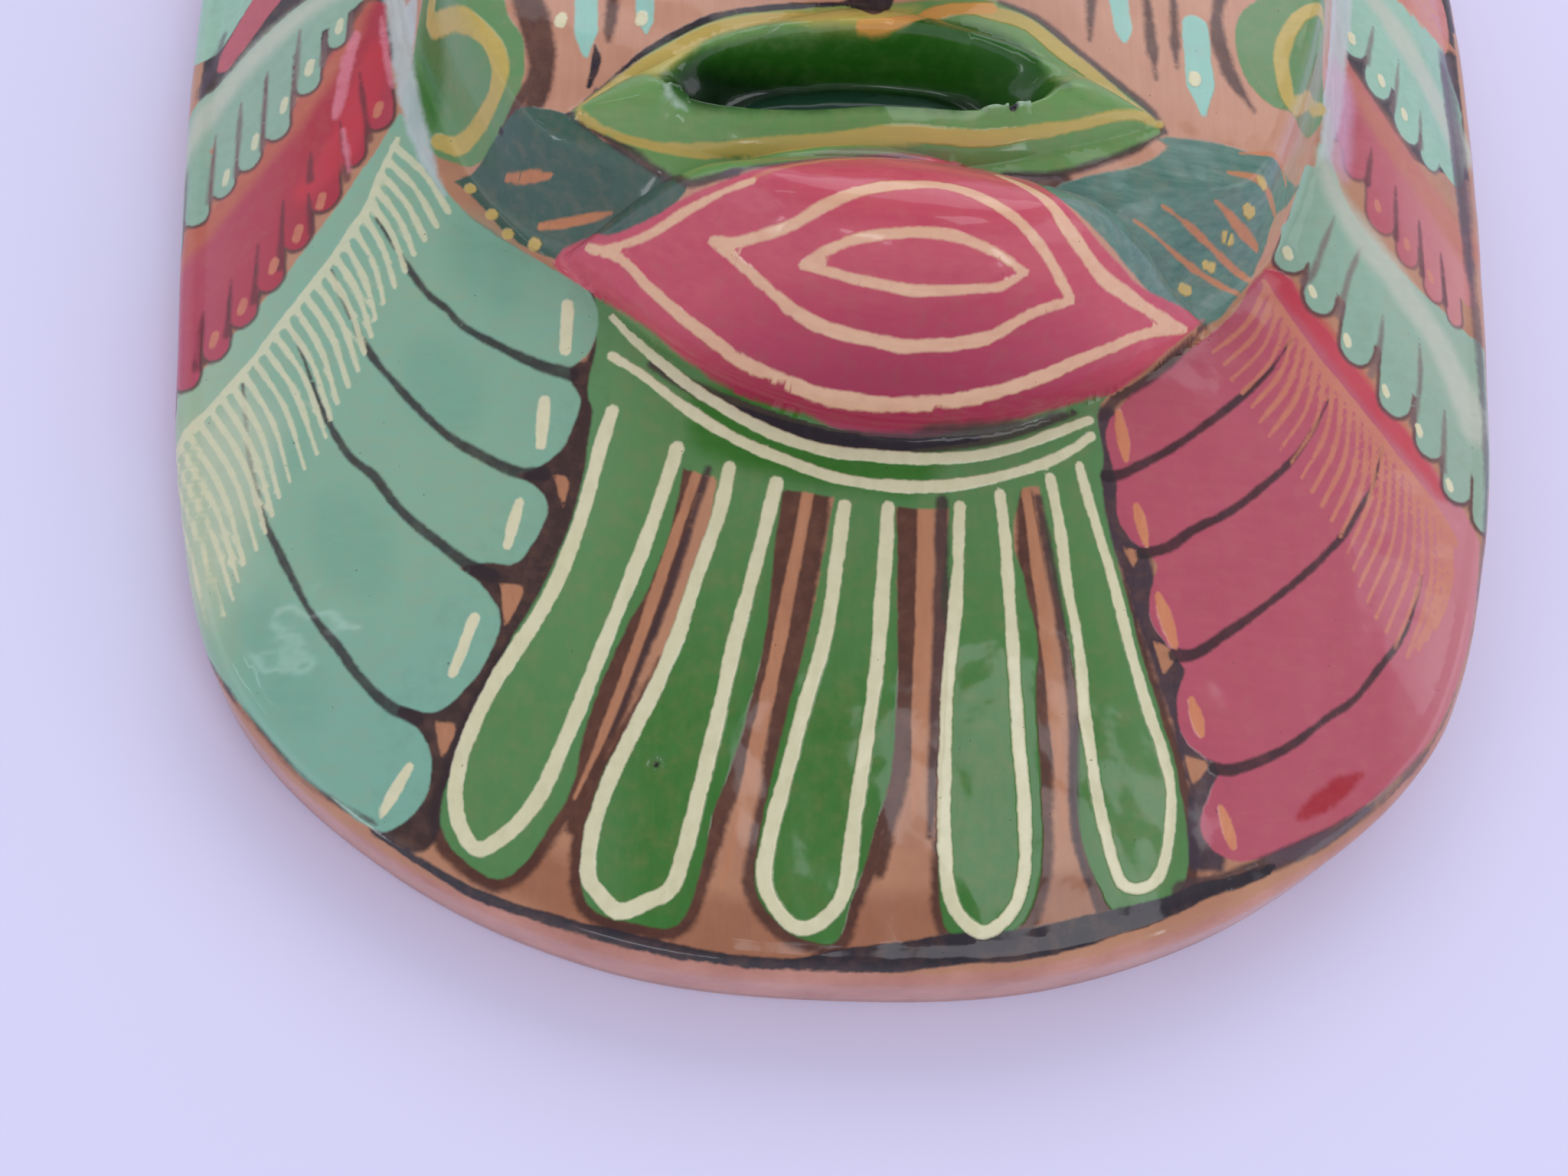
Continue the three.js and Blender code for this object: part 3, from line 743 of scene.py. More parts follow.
def paint_right_fan():
    """The large red fan at the lower right, with its orange quill and barbs."""
    left = [(48.5, -25.9), (46.6, -28.2), (44.7, -31.6), (42.5, -34.2), (39.8, -36.5), (37.2, -38.8),
            (34.5, -41.4), (31.5, -43.7)]
    barbs = [[(28.3, -47.9), (27.7, -50.2), (28.4, -53.6)],
             [(29.1, -55.6), (29.1, -59.2), (30.7, -61.8), (32.7, -62.9)],
             [(33.8, -64.3), (32.9, -67.6), (33.2, -70.8), (35.6, -73.7)],
             [(37.2, -75.6), (36.1, -78.8), (36.5, -82.1), (38.7, -84.6), (40.5, -85.2)],
             [(41.2, -86.4), (40.1, -88.6), (39, -91.9), (40.5, -94.4), (44.1, -95.5), (49.2, -94),
              (53.5, -91.9), (58.6, -88.8), (63, -85.2), (67.4, -80.9), (70.8, -75.7), (73.6, -69.7),
              (75.6, -62.6), (76.6, -54.8)]]
    top = [(76.6, -54.8), (74.4, -51), (70.1, -46.7), (66.3, -43), (62.9, -39.9), (59.9, -36.9),
           (56.8, -33.5), (53.4, -30.5), (51.5, -27), (48.5, -25.9)]
    area("red1", left, *barbs, top)
    area("violet", [(27, -46), (25.6, -56), (29.5, -66), (34, -78), (37.4, -88), (37.6, -96), (42, -97)],
         [(43, -87), (36, -73), (32, -60), (30, -47)])
    for triangle in ([(33.2, -72.7), (35.8, -74.1), (34.5, -76.3)],
                     [(36.9, -84.8), (39.9, -85.5), (38.1, -88.2)],
                     [(29.6, -62.6), (31.6, -63.0), (30.9, -64.9)]):
        area("strip", triangle)
    spine = [(48.1, -27.8), (50, -31.2), (53.4, -35.8), (56.1, -38.8), (60.3, -42.6), (63.7, -46),
             (67.5, -49.4), (70.9, -52.8), (72.8, -55.5)]
    ends = [(40.4, -37.3), (42.5, -39.2), (43.6, -41.4), (45.1, -43.3), (46.2, -44.8), (47.2, -47.1),
            (48.9, -48.6), (51.9, -52), (53.6, -54.1), (57, -59), (59, -64), (62, -68), (65, -70.8),
            (70, -66)]
    stroke("orange", spine, 1.1, 0.7, 1.3)
    comb("orange", spine, ends, 25, 0.62, sag=-0.08, start=1.3, end=0.7)
    for line in ([(51.2, -35), (48.1, -39.5), (44.7, -43), (40.9, -46.4), (37.2, -49.4), (33.4, -52),
                  (29.6, -54.3), (27.7, -54.7)],
                 [(55.7, -41.8), (53.4, -46), (50.4, -50.2), (46.6, -53.9), (42.5, -57.3), (37.9, -60),
                  (35.1, -62.1), (31.8, -63.2)],
                 [(62.9, -46), (61.4, -50.9), (59.1, -54.7), (56.5, -58.5), (51.4, -63.6), (46.3, -67.9),
                  (41.9, -71.2), (38.3, -73.7), (35.8, -74.1)],
                 [(67.7, -60.7), (66.2, -65), (64.4, -68.7), (61.5, -72.3), (57.9, -76.6), (54.3, -79.2),
                  (50.6, -82.1), (47, -84.2), (42.7, -85.9), (40.5, -85.9)]):
        stroke("ink_thin", line, 0.9, 0.4, 1.6)
    for a, b, width in (((29.4, -46.8), (30.1, -52.6), 1.5), ((31.3, -57.8), (32.5, -62.2), 1.3),
                        ((33.8, -67.6), (35.8, -73), 1.5), ((37.8, -78.7), (39, -82.4), 1.5),
                        ((41.4, -90), (43, -94), 1.5)):
        stroke("tick", [a, ((a[0] + b[0]) / 2, (a[1] + b[1]) / 2), b], width, 0.5, 0.5)
    stroke("crimson", [(51, -90.2), (54.5, -87.8), (58.6, -84.9)], 2.6, 0.3, 0.2)
    stroke("red_bright", [(49.4, -27), (54.2, -32), (59.8, -38), (65.8, -43.8), (71.5, -49.6)], 3.4, 0.8, 0.6)
    stroke("ink_soft", [(40.6, -34.6), (37.4, -38), (33.4, -41.9), (29.5, -44.9), (27.4, -47.6)], 1.5,
           0.4, 0.8)


def paint_right_feathers():
    """The small feathers above the right fan: mint, red and mint again."""
    lobes("mint2", "dark1", [
        ((55, -13), (51.7, -24.0), 2.2), ((58.4, -17), (55.2, -28.9), 2.1), ((62.6, -22), (60.1, -33.8), 2.4),
        ((66.8, -27), (65.3, -39.1), 2.5), ((71, -31), (70.1, -43.4), 2.3), ((75, -36), (73.7, -48.2), 2.2),
        ((79, -40), (77.6, -51.6), 1.9)], 1.2)
    area("mint2", [(56.6, -7.5), (55.4, -12.6), (52.8, -17.6), (50.2, -21.2)],
         [(54.5, -25), (60, -30), (66, -36), (72, -42), (80, -49)],
         [(81, -28), (75.4, -25.2), (71, -23.6), (66.6, -21.2), (62, -18), (59.2, -13.6), (57.6, -8),
          (56.6, -7.5)])
    for line in ([(58, -17.5), (56, -22.2), (54.4, -26), (53.2, -27.2)],
                 [(61.6, -20.5), (59.4, -25.4), (57.8, -30.6)], [(64.2, -29), (63.2, -34), (62.0, -37)],
                 [(69.6, -31), (69, -37), (67.6, -42)], [(72.6, -39), (71.8, -46.6)]):
        stroke("gap_mint", line, 0.85, 0.3, 1.6)
    stroke("cream_wash",
           [(56.8, -9), (58.2, -14), (61.6, -18.8), (66.4, -23), (71, -27.6), (74.6, -32.6), (77.6, -39)],
           4.2, 0.35, 1.4)
    for x, y in ((51.3, -23.8), (54.3, -28.3), (58.8, -33.5), (63.9, -38.6), (68.5, -42.5), (72.6, -48.4)):
        dot("cream", x, y, 0.55, 1.7, 108)
    lobes("red2", "dark2", [
        ((61.6, -2), (61.6, -9.7), 1.6), ((66, -6), (65.1, -15.1), 2.4), ((69.8, -9), (68.9, -18.7), 1.9),
        ((73.4, -12), (73, -22.1), 1.75), ((76.8, -15), (76.1, -24.6), 1.4)], 0.9)
    area("red2", [(59.8, 14), (59.4, 3), (59.2, -6), (61, -9)], [(66, -14), (76, -20), (80, -22), (80, -12)],
         [(76, -8), (70, -3), (66, 1), (62, 6), (61.6, 14)])
    stroke("rose_wash", [(60.4, 13), (59.6, 3), (58.8, -5.6)], 2.2, 0.8, 0.5)
    stroke("orange_wash", [(61.4, 5), (65, -0.6), (69.6, -5), (75, -9), (80, -13)], 4.6, 0.3, 1.2)
    for line in ([(64.4, -6), (63.2, -11.4)], [(67.9, -10), (67.2, -17.4)], [(71.6, -13), (71.1, -20.8)],
                 [(75, -16), (74.7, -23.4)]):
        stroke("gap_red", line, 0.85, 0.3, 1.4)
    for x, y in ((64.6, -14), (68.9, -17.6), (72.6, -20.6)):
        dot("orange", x, y, 0.55, 1.7, 95)
    lobes("mint3", "dark3", [
        ((64.2, 15), (63.2, 8.9), 2.0), ((68.2, 12), (66.6, 4.7), 2.3), ((72.4, 10), (71, 0.4), 2.5),
        ((76.4, 8), (74.8, -2.3), 1.9)], 0.9)
    area("mint3", [(61.6, 18), (61.4, 10), (66, 8)], [(74, 0), (80, -4), (82, 8)],
         [(80, 18), (70, 20), (61.6, 18)])
    for line in ([(66.6, 13), (65, 7)], [(70.6, 10), (69.4, 4), (68.6, 1.6)], [(73.8, 4), (73.2, -1.4)]):
        stroke("gap_mint", line, 0.8, 0.3, 1.5)
    stroke("cream_wash", [(66, 18), (72, 13.6), (77, 8), (81, 2)], 4.4, 0.5, 1.2)
    for x, y in ((62.9, 9.6), (67.2, 5.2), (70.7, 2)):
        dot("cream", x, y, 0.6, 1.6, 100)


# The five long green leaves: cream line, then green outline, each down the left side and up the right.
LEAF_LINES = [[(-28.2, -50), (-29.4, -54.7), (-30.6, -60.7), (-32.9, -68.2), (-35.3, -73.4),
               (-38.9, -79.3), (-41.7, -85.3), (-42.9, -90), (-42.5, -94), (-40.3, -97.2), (-37.3, -95.8),
               (-34.5, -92.8), (-32.5, -88.9), (-30.2, -82.9), (-28.2, -77.3), (-25.8, -70.6),
               (-23.8, -65), (-22.2, -59.5), (-20.8, -54.3)],
              [(-14.9, -56.3), (-15.9, -61.5), (-18.3, -69.8), (-20.6, -77.3), (-23.8, -84.5),
               (-26.2, -89.7), (-27.8, -94.8), (-28.2, -99.6), (-27, -101.6), (-24.6, -103.5),
               (-21.4, -102.3), (-19, -100.8), (-17.5, -95.2), (-16.3, -89.7), (-14.7, -81.7),
               (-13.1, -73.4), (-11.1, -65), (-9.7, -57.9)],
              [(-2, -60.1), (-2.6, -65), (-3.6, -73.8), (-5.6, -81.7), (-7.5, -89.7), (-8.7, -94.8),
               (-9.3, -99.6), (-7.9, -102.7), (-5.2, -104.7), (-2.4, -103.5), (-0.4, -100.4),
               (0.2, -93.6), (1.2, -85.3), (2, -77.7), (2.5, -68.2), (2.9, -59.9)],
              [(10.9, -59.5), (10.7, -68.2), (10.1, -75.8), (9.8, -81.7), (9.9, -89.7), (10.1, -95.6),
               (10.9, -100.8), (12.7, -103.5), (15, -104.5), (17.8, -102.3), (19, -98.4), (18.8, -91.6),
               (18, -85.7), (17.4, -78.9), (16.6, -69.8), (16, -62.7), (15.4, -57.9)],
              [(21.2, -55.5), (22.2, -60.7), (23.2, -67.4), (24.6, -74.6), (25.4, -81.7), (26.6, -87.7),
               (27.7, -92.4), (28.9, -96.4), (30.1, -98.8), (32.1, -99.2), (34.1, -98), (35.3, -94.4),
               (35.5, -88.9), (34.5, -84.9), (32.5, -79.7), (30.5, -73.8), (28.5, -66.6), (26.6, -60.7),
               (24.6, -53.9)]]
LEAF_OUTLINES = [[(-30.2, -48), (-31.3, -59.1), (-34.1, -68.2), (-37.7, -75.4), (-41.5, -82.9),
                  (-43.5, -88.9), (-44.4, -93.6), (-42.9, -97.2), (-39.7, -99.6), (-37.2, -100.2),
                  (-34.6, -98.2), (-32.4, -94.6), (-30.2, -90.4), (-29, -83.7), (-26.2, -76.2),
                  (-23, -69.4), (-21, -63.1), (-19.8, -54.7)],
                 [(-15.8, -54), (-16.8, -61.7), (-19.2, -70), (-21.5, -77.6), (-24.7, -84.8),
                  (-26.8, -88.7), (-28.4, -93.6), (-29, -98.8), (-27.8, -103.1), (-22.6, -104.7),
                  (-18.3, -104.7), (-16.3, -100.4), (-15.1, -93.6), (-13.1, -87.7), (-10.7, -77.7),
                  (-9.9, -69.8), (-8.9, -57)],
                 [(-3.2, -57), (-3.4, -60.7), (-5.2, -71.8), (-7.1, -80.9), (-8.7, -88.1), (-10.1, -96.8),
                  (-9.9, -101.6), (-7.1, -104.7), (-4.4, -105.9), (-1.2, -105.9), (0.4, -101.6),
                  (2.7, -93.6), (4.1, -87.7), (4.3, -77.7), (4.1, -71.8), (3.7, -57)],
                 [(9.9, -57), (9, -69.8), (9.7, -75.4), (9.5, -89.7), (9.7, -99.6), (11.1, -104.7),
                  (15.8, -105.1), (19.4, -103.1), (21, -97.6), (20.6, -89.7), (19.8, -81.7),
                  (19.8, -73.8), (18.2, -67.4), (17, -62.7), (18.2, -55)],
                 [(19.6, -55), (21.8, -67.8), (23.4, -74.6), (24.8, -81.7), (24.4, -87.7), (25.4, -94.8),
                  (27.7, -99.6), (29.7, -102), (33.3, -101.2), (36.9, -98.8), (37.7, -94.8),
                  (36.5, -87.7), (34.1, -80.5), (31.7, -73.8), (29.7, -66.6), (27.7, -59.1), (26.6, -50)]]
LEAF_LINE_WIDTHS = [1.7, 1.7, 1.65, 1.5, 1.3]
# Strokes between the leaves: coat, line and width.
BETWEEN_LEAVES = [
    ("brown", [(-19, -55), (-22.8, -69.8), (-26.2, -80), (-30, -95)], 4.4),
    ("strip", [(-18.3, -56.5), (-22.2, -69.8), (-24.6, -77.7), (-27.4, -85.7), (-30, -92)], 1.3),
    ("ink_soft", [(-17.2, -56.5), (-20.8, -69.8), (-24, -79), (-26.6, -85.7)], 0.9),
    ("brown", [(-7.9, -57), (-10.5, -78), (-14.7, -97)], 3.4),
    ("brown", [(-4.4, -57), (-7, -75), (-9.9, -93)], 2.8),
    ("strip", [(-6, -58.5), (-9.4, -79), (-12.3, -94), (-13.8, -101)], 1.6),
    ("brown", [(4.9, -58), (5.5, -81.7), (3.2, -98.8)], 3.2),
    ("strip", [(7.1, -59), (7.0, -76), (6.7, -93)], 2.0),
    ("ink_soft", [(8.9, -59), (8.9, -76), (8.5, -95)], 1.8),
    ("brown", [(18.2, -58), (20.2, -81.7), (21.6, -97.6)], 3.0),
    ("strip", [(18.4, -57.1), (20.6, -71.8), (21.8, -80.9), (23.4, -93.6)], 1.4),
    ("ink_soft", [(19.8, -57.9), (23.8, -79.7), (24.6, -93.6), (27.7, -102.3)], 1.2),
]
BORDER = [(-52, -95), (-50, -96.4), (-44.8, -99.6), (-40.5, -102), (-34.1, -104.3), (-26.2, -106.3),
          (-19.8, -107.7), (-14.3, -108.7), (-6.3, -109.1), (0, -108), (5.9, -107.3), (11.9, -106.3),
          (19.8, -105.5), (25.8, -103.9), (29.7, -102.7), (35.7, -100.8), (39.7, -98.8), (43.6, -97.6),
          (47.6, -96)]
RIGHT_BORDER = [(47.6, -95.2), (54.2, -92.2), (59.6, -88.8), (64, -85.2), (68.4, -80.8), (71.8, -75.6),
                (74.6, -69.6), (76.6, -62.4), (78, -54), (78.8, -46), (79.4, -36), (79.8, -22),
                (79.8, -5), (79.6, 14)]
LEFT_BORDER = [(-51.5, -94.6), (-56, -92.4), (-60.3, -89.7), (-67, -82.7), (-73, -76.7), (-79, -71.5),
               (-84, -66)]


def paint_collar():
    """The green band under the chin, the leaves that hang from it and the black line round the edge."""
    area("green", [(-31, -35), (-30.4, -42), (-30.2, -50), (-20, -56.4), (-8, -58.7), (0, -59.5), (10, -59.8),
                   (18, -57), (27, -54.5), (27, -47), (31, -41)], [(20, -40), (0, -44), (-20, -38)])
    area("green_deep", [(-20, -47), (-18, -54.6), (-8, -57.6), (0, -58.4), (6, -58.2), (10, -53)],
         [(9, -48), (-10, -46)])
    for points, width in (([(-28.5, -38.7), (-25.8, -41.6), (-21.9, -45), (-17.9, -48), (-13, -50.9),
                            (-8.1, -52.9), (-3.2, -53.9), (1.7, -54.1), (7.1, -54.1), (12, -53.6),
                            (16.4, -52.4), (21.3, -50.4), (25.9, -48.2)], 1.45),
                          ([(-28.5, -43.6), (-25.3, -45.5), (-21.4, -48.5), (-17.9, -50.9),
                            (-13.5, -53.4), (-8.6, -55.3), (-4, -56.7), (0, -57.3), (5.1, -57.5),
                            (9.9, -57.1), (15, -55.9), (19.8, -54.1), (23.8, -52), (26, -50.2)], 1.4)):
        stroke("cream", points, width, 0.8, 0.8)
    for outline, line, width in zip(LEAF_OUTLINES, LEAF_LINES, LEAF_LINE_WIDTHS):
        stroke("brown", outline[3:-2], 2.6, 0.3, 0.4)
        area("green", outline)
        stroke("cream", line, width, 0.9, 0.9)
    for coat, line, width in BETWEEN_LEAVES:
        stroke(coat, line, width, 0.8, 0.35)
    stroke("ink", BORDER, 2.5, 0.3, 0.5)
    stroke("ink", BORDER[7:-1], 3.4, 0.6, 0.4)
    stroke("clay_dark", [(-40, -97.5), (-26, -102.6), (-10, -105.4), (6, -104.4), (20, -102), (36, -97)],
           7.5, 0.7, 0.7)
    stroke("ink_soft", LEFT_BORDER, 0.8, 0.8, 0.4)
    dot("ink", *PITS[0][:2], 0.35)
    stroke("ink_soft", [(37, -99.2), (42.4, -97.6), (48, -95.2), (54.2, -92.2), (60.4, -88.2)], 2.1, 1.1, 0.5)
    stroke("ink_faint", RIGHT_BORDER, 1.4, 1.0, 1.4)
    stroke("violet_soft", [(79.8, -18), (80.2, -8), (80.4, 4), (80, 16)], 2.6, 0.4, 1.0)
    # Painted shade under the chin: a dark band where the chin meets the collar, partly a painted black line
    # and partly painted shade of the crease.
    stroke("ink_soft",
           [(-24, -44.4), (-16, -48.6), (-8, -51.2), (0, -52.3), (8, -51.9), (17, -50.1), (24, -47.4)],
           3.0, 0.4, 0.4)
    stroke("ink", [(-15.6, -49), (-8, -51.5), (0, -52.6), (7, -52.2), (13, -51.2)], 2.0, 0.3, 0.4)


def paint_chin():
    top = [(-35.9, -32.2), (-34.8, -30.8), (-31.7, -30.6), (-29.7, -32.3), (-25.3, -33), (-20.4, -32.5),
           (-15.5, -32.3), (-10.6, -30.8), (-5.7, -28.9), (-0.8, -27.9), (4.1, -26.7), (9, -26.4),
           (13.9, -27.4), (16.4, -31.3), (18.8, -34.3), (22.3, -36.2), (28.6, -37), (33.5, -36.2),
           (36.5, -35.2), (40.4, -33.8)]
    bottom = [(40.4, -33.8), (38.4, -36.4), (33.5, -40.9), (28.6, -44.5), (21.3, -48), (15.4, -50),
              (9, -51.3), (4.1, -51.9), (-0.8, -51.5), (-5.7, -50.4), (-10.6, -49), (-15.5, -47),
              (-20.4, -44), (-25.3, -40.4), (-30.4, -36.4), (-34, -33.8), (-35.9, -32.2)]
    area("pink", top, bottom)
    for points, width in (([(-31.9, -32.5), (-29.7, -33.5), (-25.3, -34.3), (-20.4, -33.8),
                            (-14.5, -33.5)], 0.95),
                          ([(12, -30.3), (15.4, -33.3), (18.8, -36.7), (23.7, -38.7), (28.6, -38.4),
                            (33.5, -37.9), (37, -37.2)], 1.6),
                          ([(37, -37.2), (32, -39.6), (26.2, -43.1), (18.8, -47), (11.5, -49.4),
                            (4.1, -50.4), (-3.2, -49.9), (-8.1, -48.7), (-14, -46.3), (-18.9, -43.1),
                            (-23.8, -39.2), (-28.2, -35), (-31.9, -32.5)], 1.6),
                          ([(-18.4, -37.2), (-15.5, -38.2), (-10.6, -38.4), (-6.7, -37.2), (-2.3, -35.5),
                            (4.1, -34.5), (8, -35.2), (12, -37.2), (16.4, -39.4), (20.8, -41.6)], 1.4),
                          ([(20.8, -41.6), (16.4, -43.6), (11.5, -46), (4.1, -47.1), (-1.8, -46.5),
                            (-6.7, -45.3), (-10.6, -43.3), (-14.5, -40.4), (-18.4, -37.2)], 1.45),
                          ([(-8.9, -41.4), (-4.7, -40.4), (0.2, -40), (5.1, -40), (10, -40.6),
                            (14.7, -41.4)], 1.2),
                          ([(14.7, -41.4), (12, -42.8), (7.1, -43.6), (2.6, -43.8), (-2.3, -43.1),
                            (-5.7, -42.3), (-8.9, -41.4)], 1.2)):
        stroke("chin_line", points, width, 0.7, 0.7)
    stroke("orange",
           [(-14.5, -33.2), (-10.6, -31.8), (-5.7, -30), (0, -28.9), (6, -28.2), (10.5, -28.8),
            (12.4, -30.6)], 0.9, 0.7, 0.8)
    stroke("chin_under", [(-14, -30.4), (-6, -28.2), (0, -27.2), (8, -25.8)], 1.8, 0.4, 0.3)


def paint_lips():
    upper = [(-34.7, -21.2), (-30, -17), (-25.8, -12.9), (-21, -9.9), (-16.3, -8.1), (-10.3, -7),
             (-4.4, -6.4), (-1.6, -6.2), (2.7, -5.4), (8.7, -4.2), (13.5, -4.2), (18.2, -6.3),
             (23.6, -11.1), (30.1, -15.8), (32.5, -18.8)]
    lower = [(32.5, -18.8), (28.4, -21.8), (24.4, -24.0), (19.5, -26.2), (13.5, -26.9), (4, -27.6),
             (-8, -30.5), (-16.3, -31.8), (-21, -31.3), (-23.4, -28.3), (-29.4, -24.8), (-34.7, -21.2)]
    area("lip", upper, lower)
    # The dark outline along the lower lip is also painted shade in the crease beneath the lip.
    stroke("ink_soft", lower[:5], 1.0, 0.4, 0.8)
    stroke("violet_soft", lower[3:7], 1.2, 0.6, 0.6)
    stroke("ink_soft", lower[7:], 1.2, 1.0, 0.4)
    stroke("ink", upper[:7], 0.85, 0.4, 1.0)
    # Painted shade along the top of the chin, just under the lower lip.
    stroke("ink_faint", [(-17.6, -31.8), (-12, -31.2), (-6.4, -29.7), (-1.4, -28.6), (4, -27.4)], 1.3,
           0.6, 0.3)
    stroke("ink_soft", upper[10:], 1.2, 0.5, 0.6)
    area("brown", [(12, -26.5), (20.5, -26), (21, -29), (19, -34)], [(15, -33), (12, -26.5)])
    area("ink", [(-4.6, -5.4), (-3.2, -8.2), (-1.6, -10.2), (-0.2, -8.4), (1.2, -5.2), (0, -3.6), (-3, -3.6)])
    stroke("ochre",
           [(-33.5, -21.8), (-28.2, -24.2), (-22.2, -25.7), (-16.3, -26.2), (-7.4, -26), (1.6, -25.1),
            (10.5, -24.2), (19.4, -21.8), (27.2, -18.8), (31.9, -17.9)], 1.9, 0.45, 0.5)
    stroke("ochre",
           [(-33.5, -20.6), (-28.2, -16.4), (-24, -13.5), (-19.3, -10.8), (-14, -9.2), (-9, -8.6)], 1.7,
           0.5, 1.0)
    area("ochre_haze", [(-28, -17), (-21.6, -12), (-16, -9.0), (-10, -7.6), (-4, -6.9), (3.8, -6.2)],
         [(3.0, -10.6), (-2, -11.7), (-8, -11.8), (-12, -11.0), (-19, -11.0), (-21.6, -14), (-25, -17.4)])
    stroke("orange_ochre",
           [(-3.0, -11.7), (-0.4, -11.5), (2.0, -10.5), (3.7, -8.7), (5.4, -7.0), (8, -5.8),
            (12.3, -5.1)], 1.9, 0.6, 0.8)
    area("slot_rim",
         [(-25, -17.5), (-22.6, -15), (-19.6, -13.8), (-14, -13.0), (-8, -12.4), (-3, -12.2),
          (0.8, -11.6), (3.2, -10.3), (5.0, -8.6), (6.8, -7.7), (10, -7.8), (14, -8.8), (16.6, -10.6),
          (17.8, -12.8), (19.2, -15.2), (20.6, -17.4)],
         [(20.4, -17.6), (15.6, -18.5), (11, -19.5), (8.2, -22.1), (0, -22.9), (-10, -23.3), (-20, -23),
          (-24, -21.4)])
    # The inside of the mouth: its deep green paint is made darker as painted shade of the recess, and a
    # bluish patch on the roll of its floor is a painted reflection.
    area("slot",
         [(-23.4, -17.6), (-20, -15), (-10, -14.5), (0, -14.4), (8, -14.6), (12.4, -15.4), (14.6, -17)],
         [(12.2, -18.2), (8.6, -20.8), (0, -22.3), (-10, -22.7), (-20, -22.4), (-22.8, -20.6)])
    area("slot_floor_sheen", [(-15.6, -18), (-13, -16.4), (-5, -15.6), (4, -15.7), (9, -16.6)],
         [(9.4, -17.6), (4, -18.6), (-5, -19), (-13, -19)])
    # Painted highlights on the glaze beads at the two ends of the slot, over a paler glaze at the right one.
    stroke("pale_glaze_and_highlight", [(-24.1, -20.4), (-23.6, -22.0), (-21.8, -22.9)], 0.8, 0.5, 0.5)
    stroke("pale_glaze_and_highlight", [(10.6, -21.4), (12.6, -20.4), (15.4, -20.3)], 1.2, 0.5, 0.4)
    dot("ink", 13.8, -20.9, 0.42)
    stroke("ochre", [(11, -5.5), (16.4, -6.9), (20.6, -10.2), (25.4, -14), (31, -17.8)], 1.9, 1.0, 0.5)


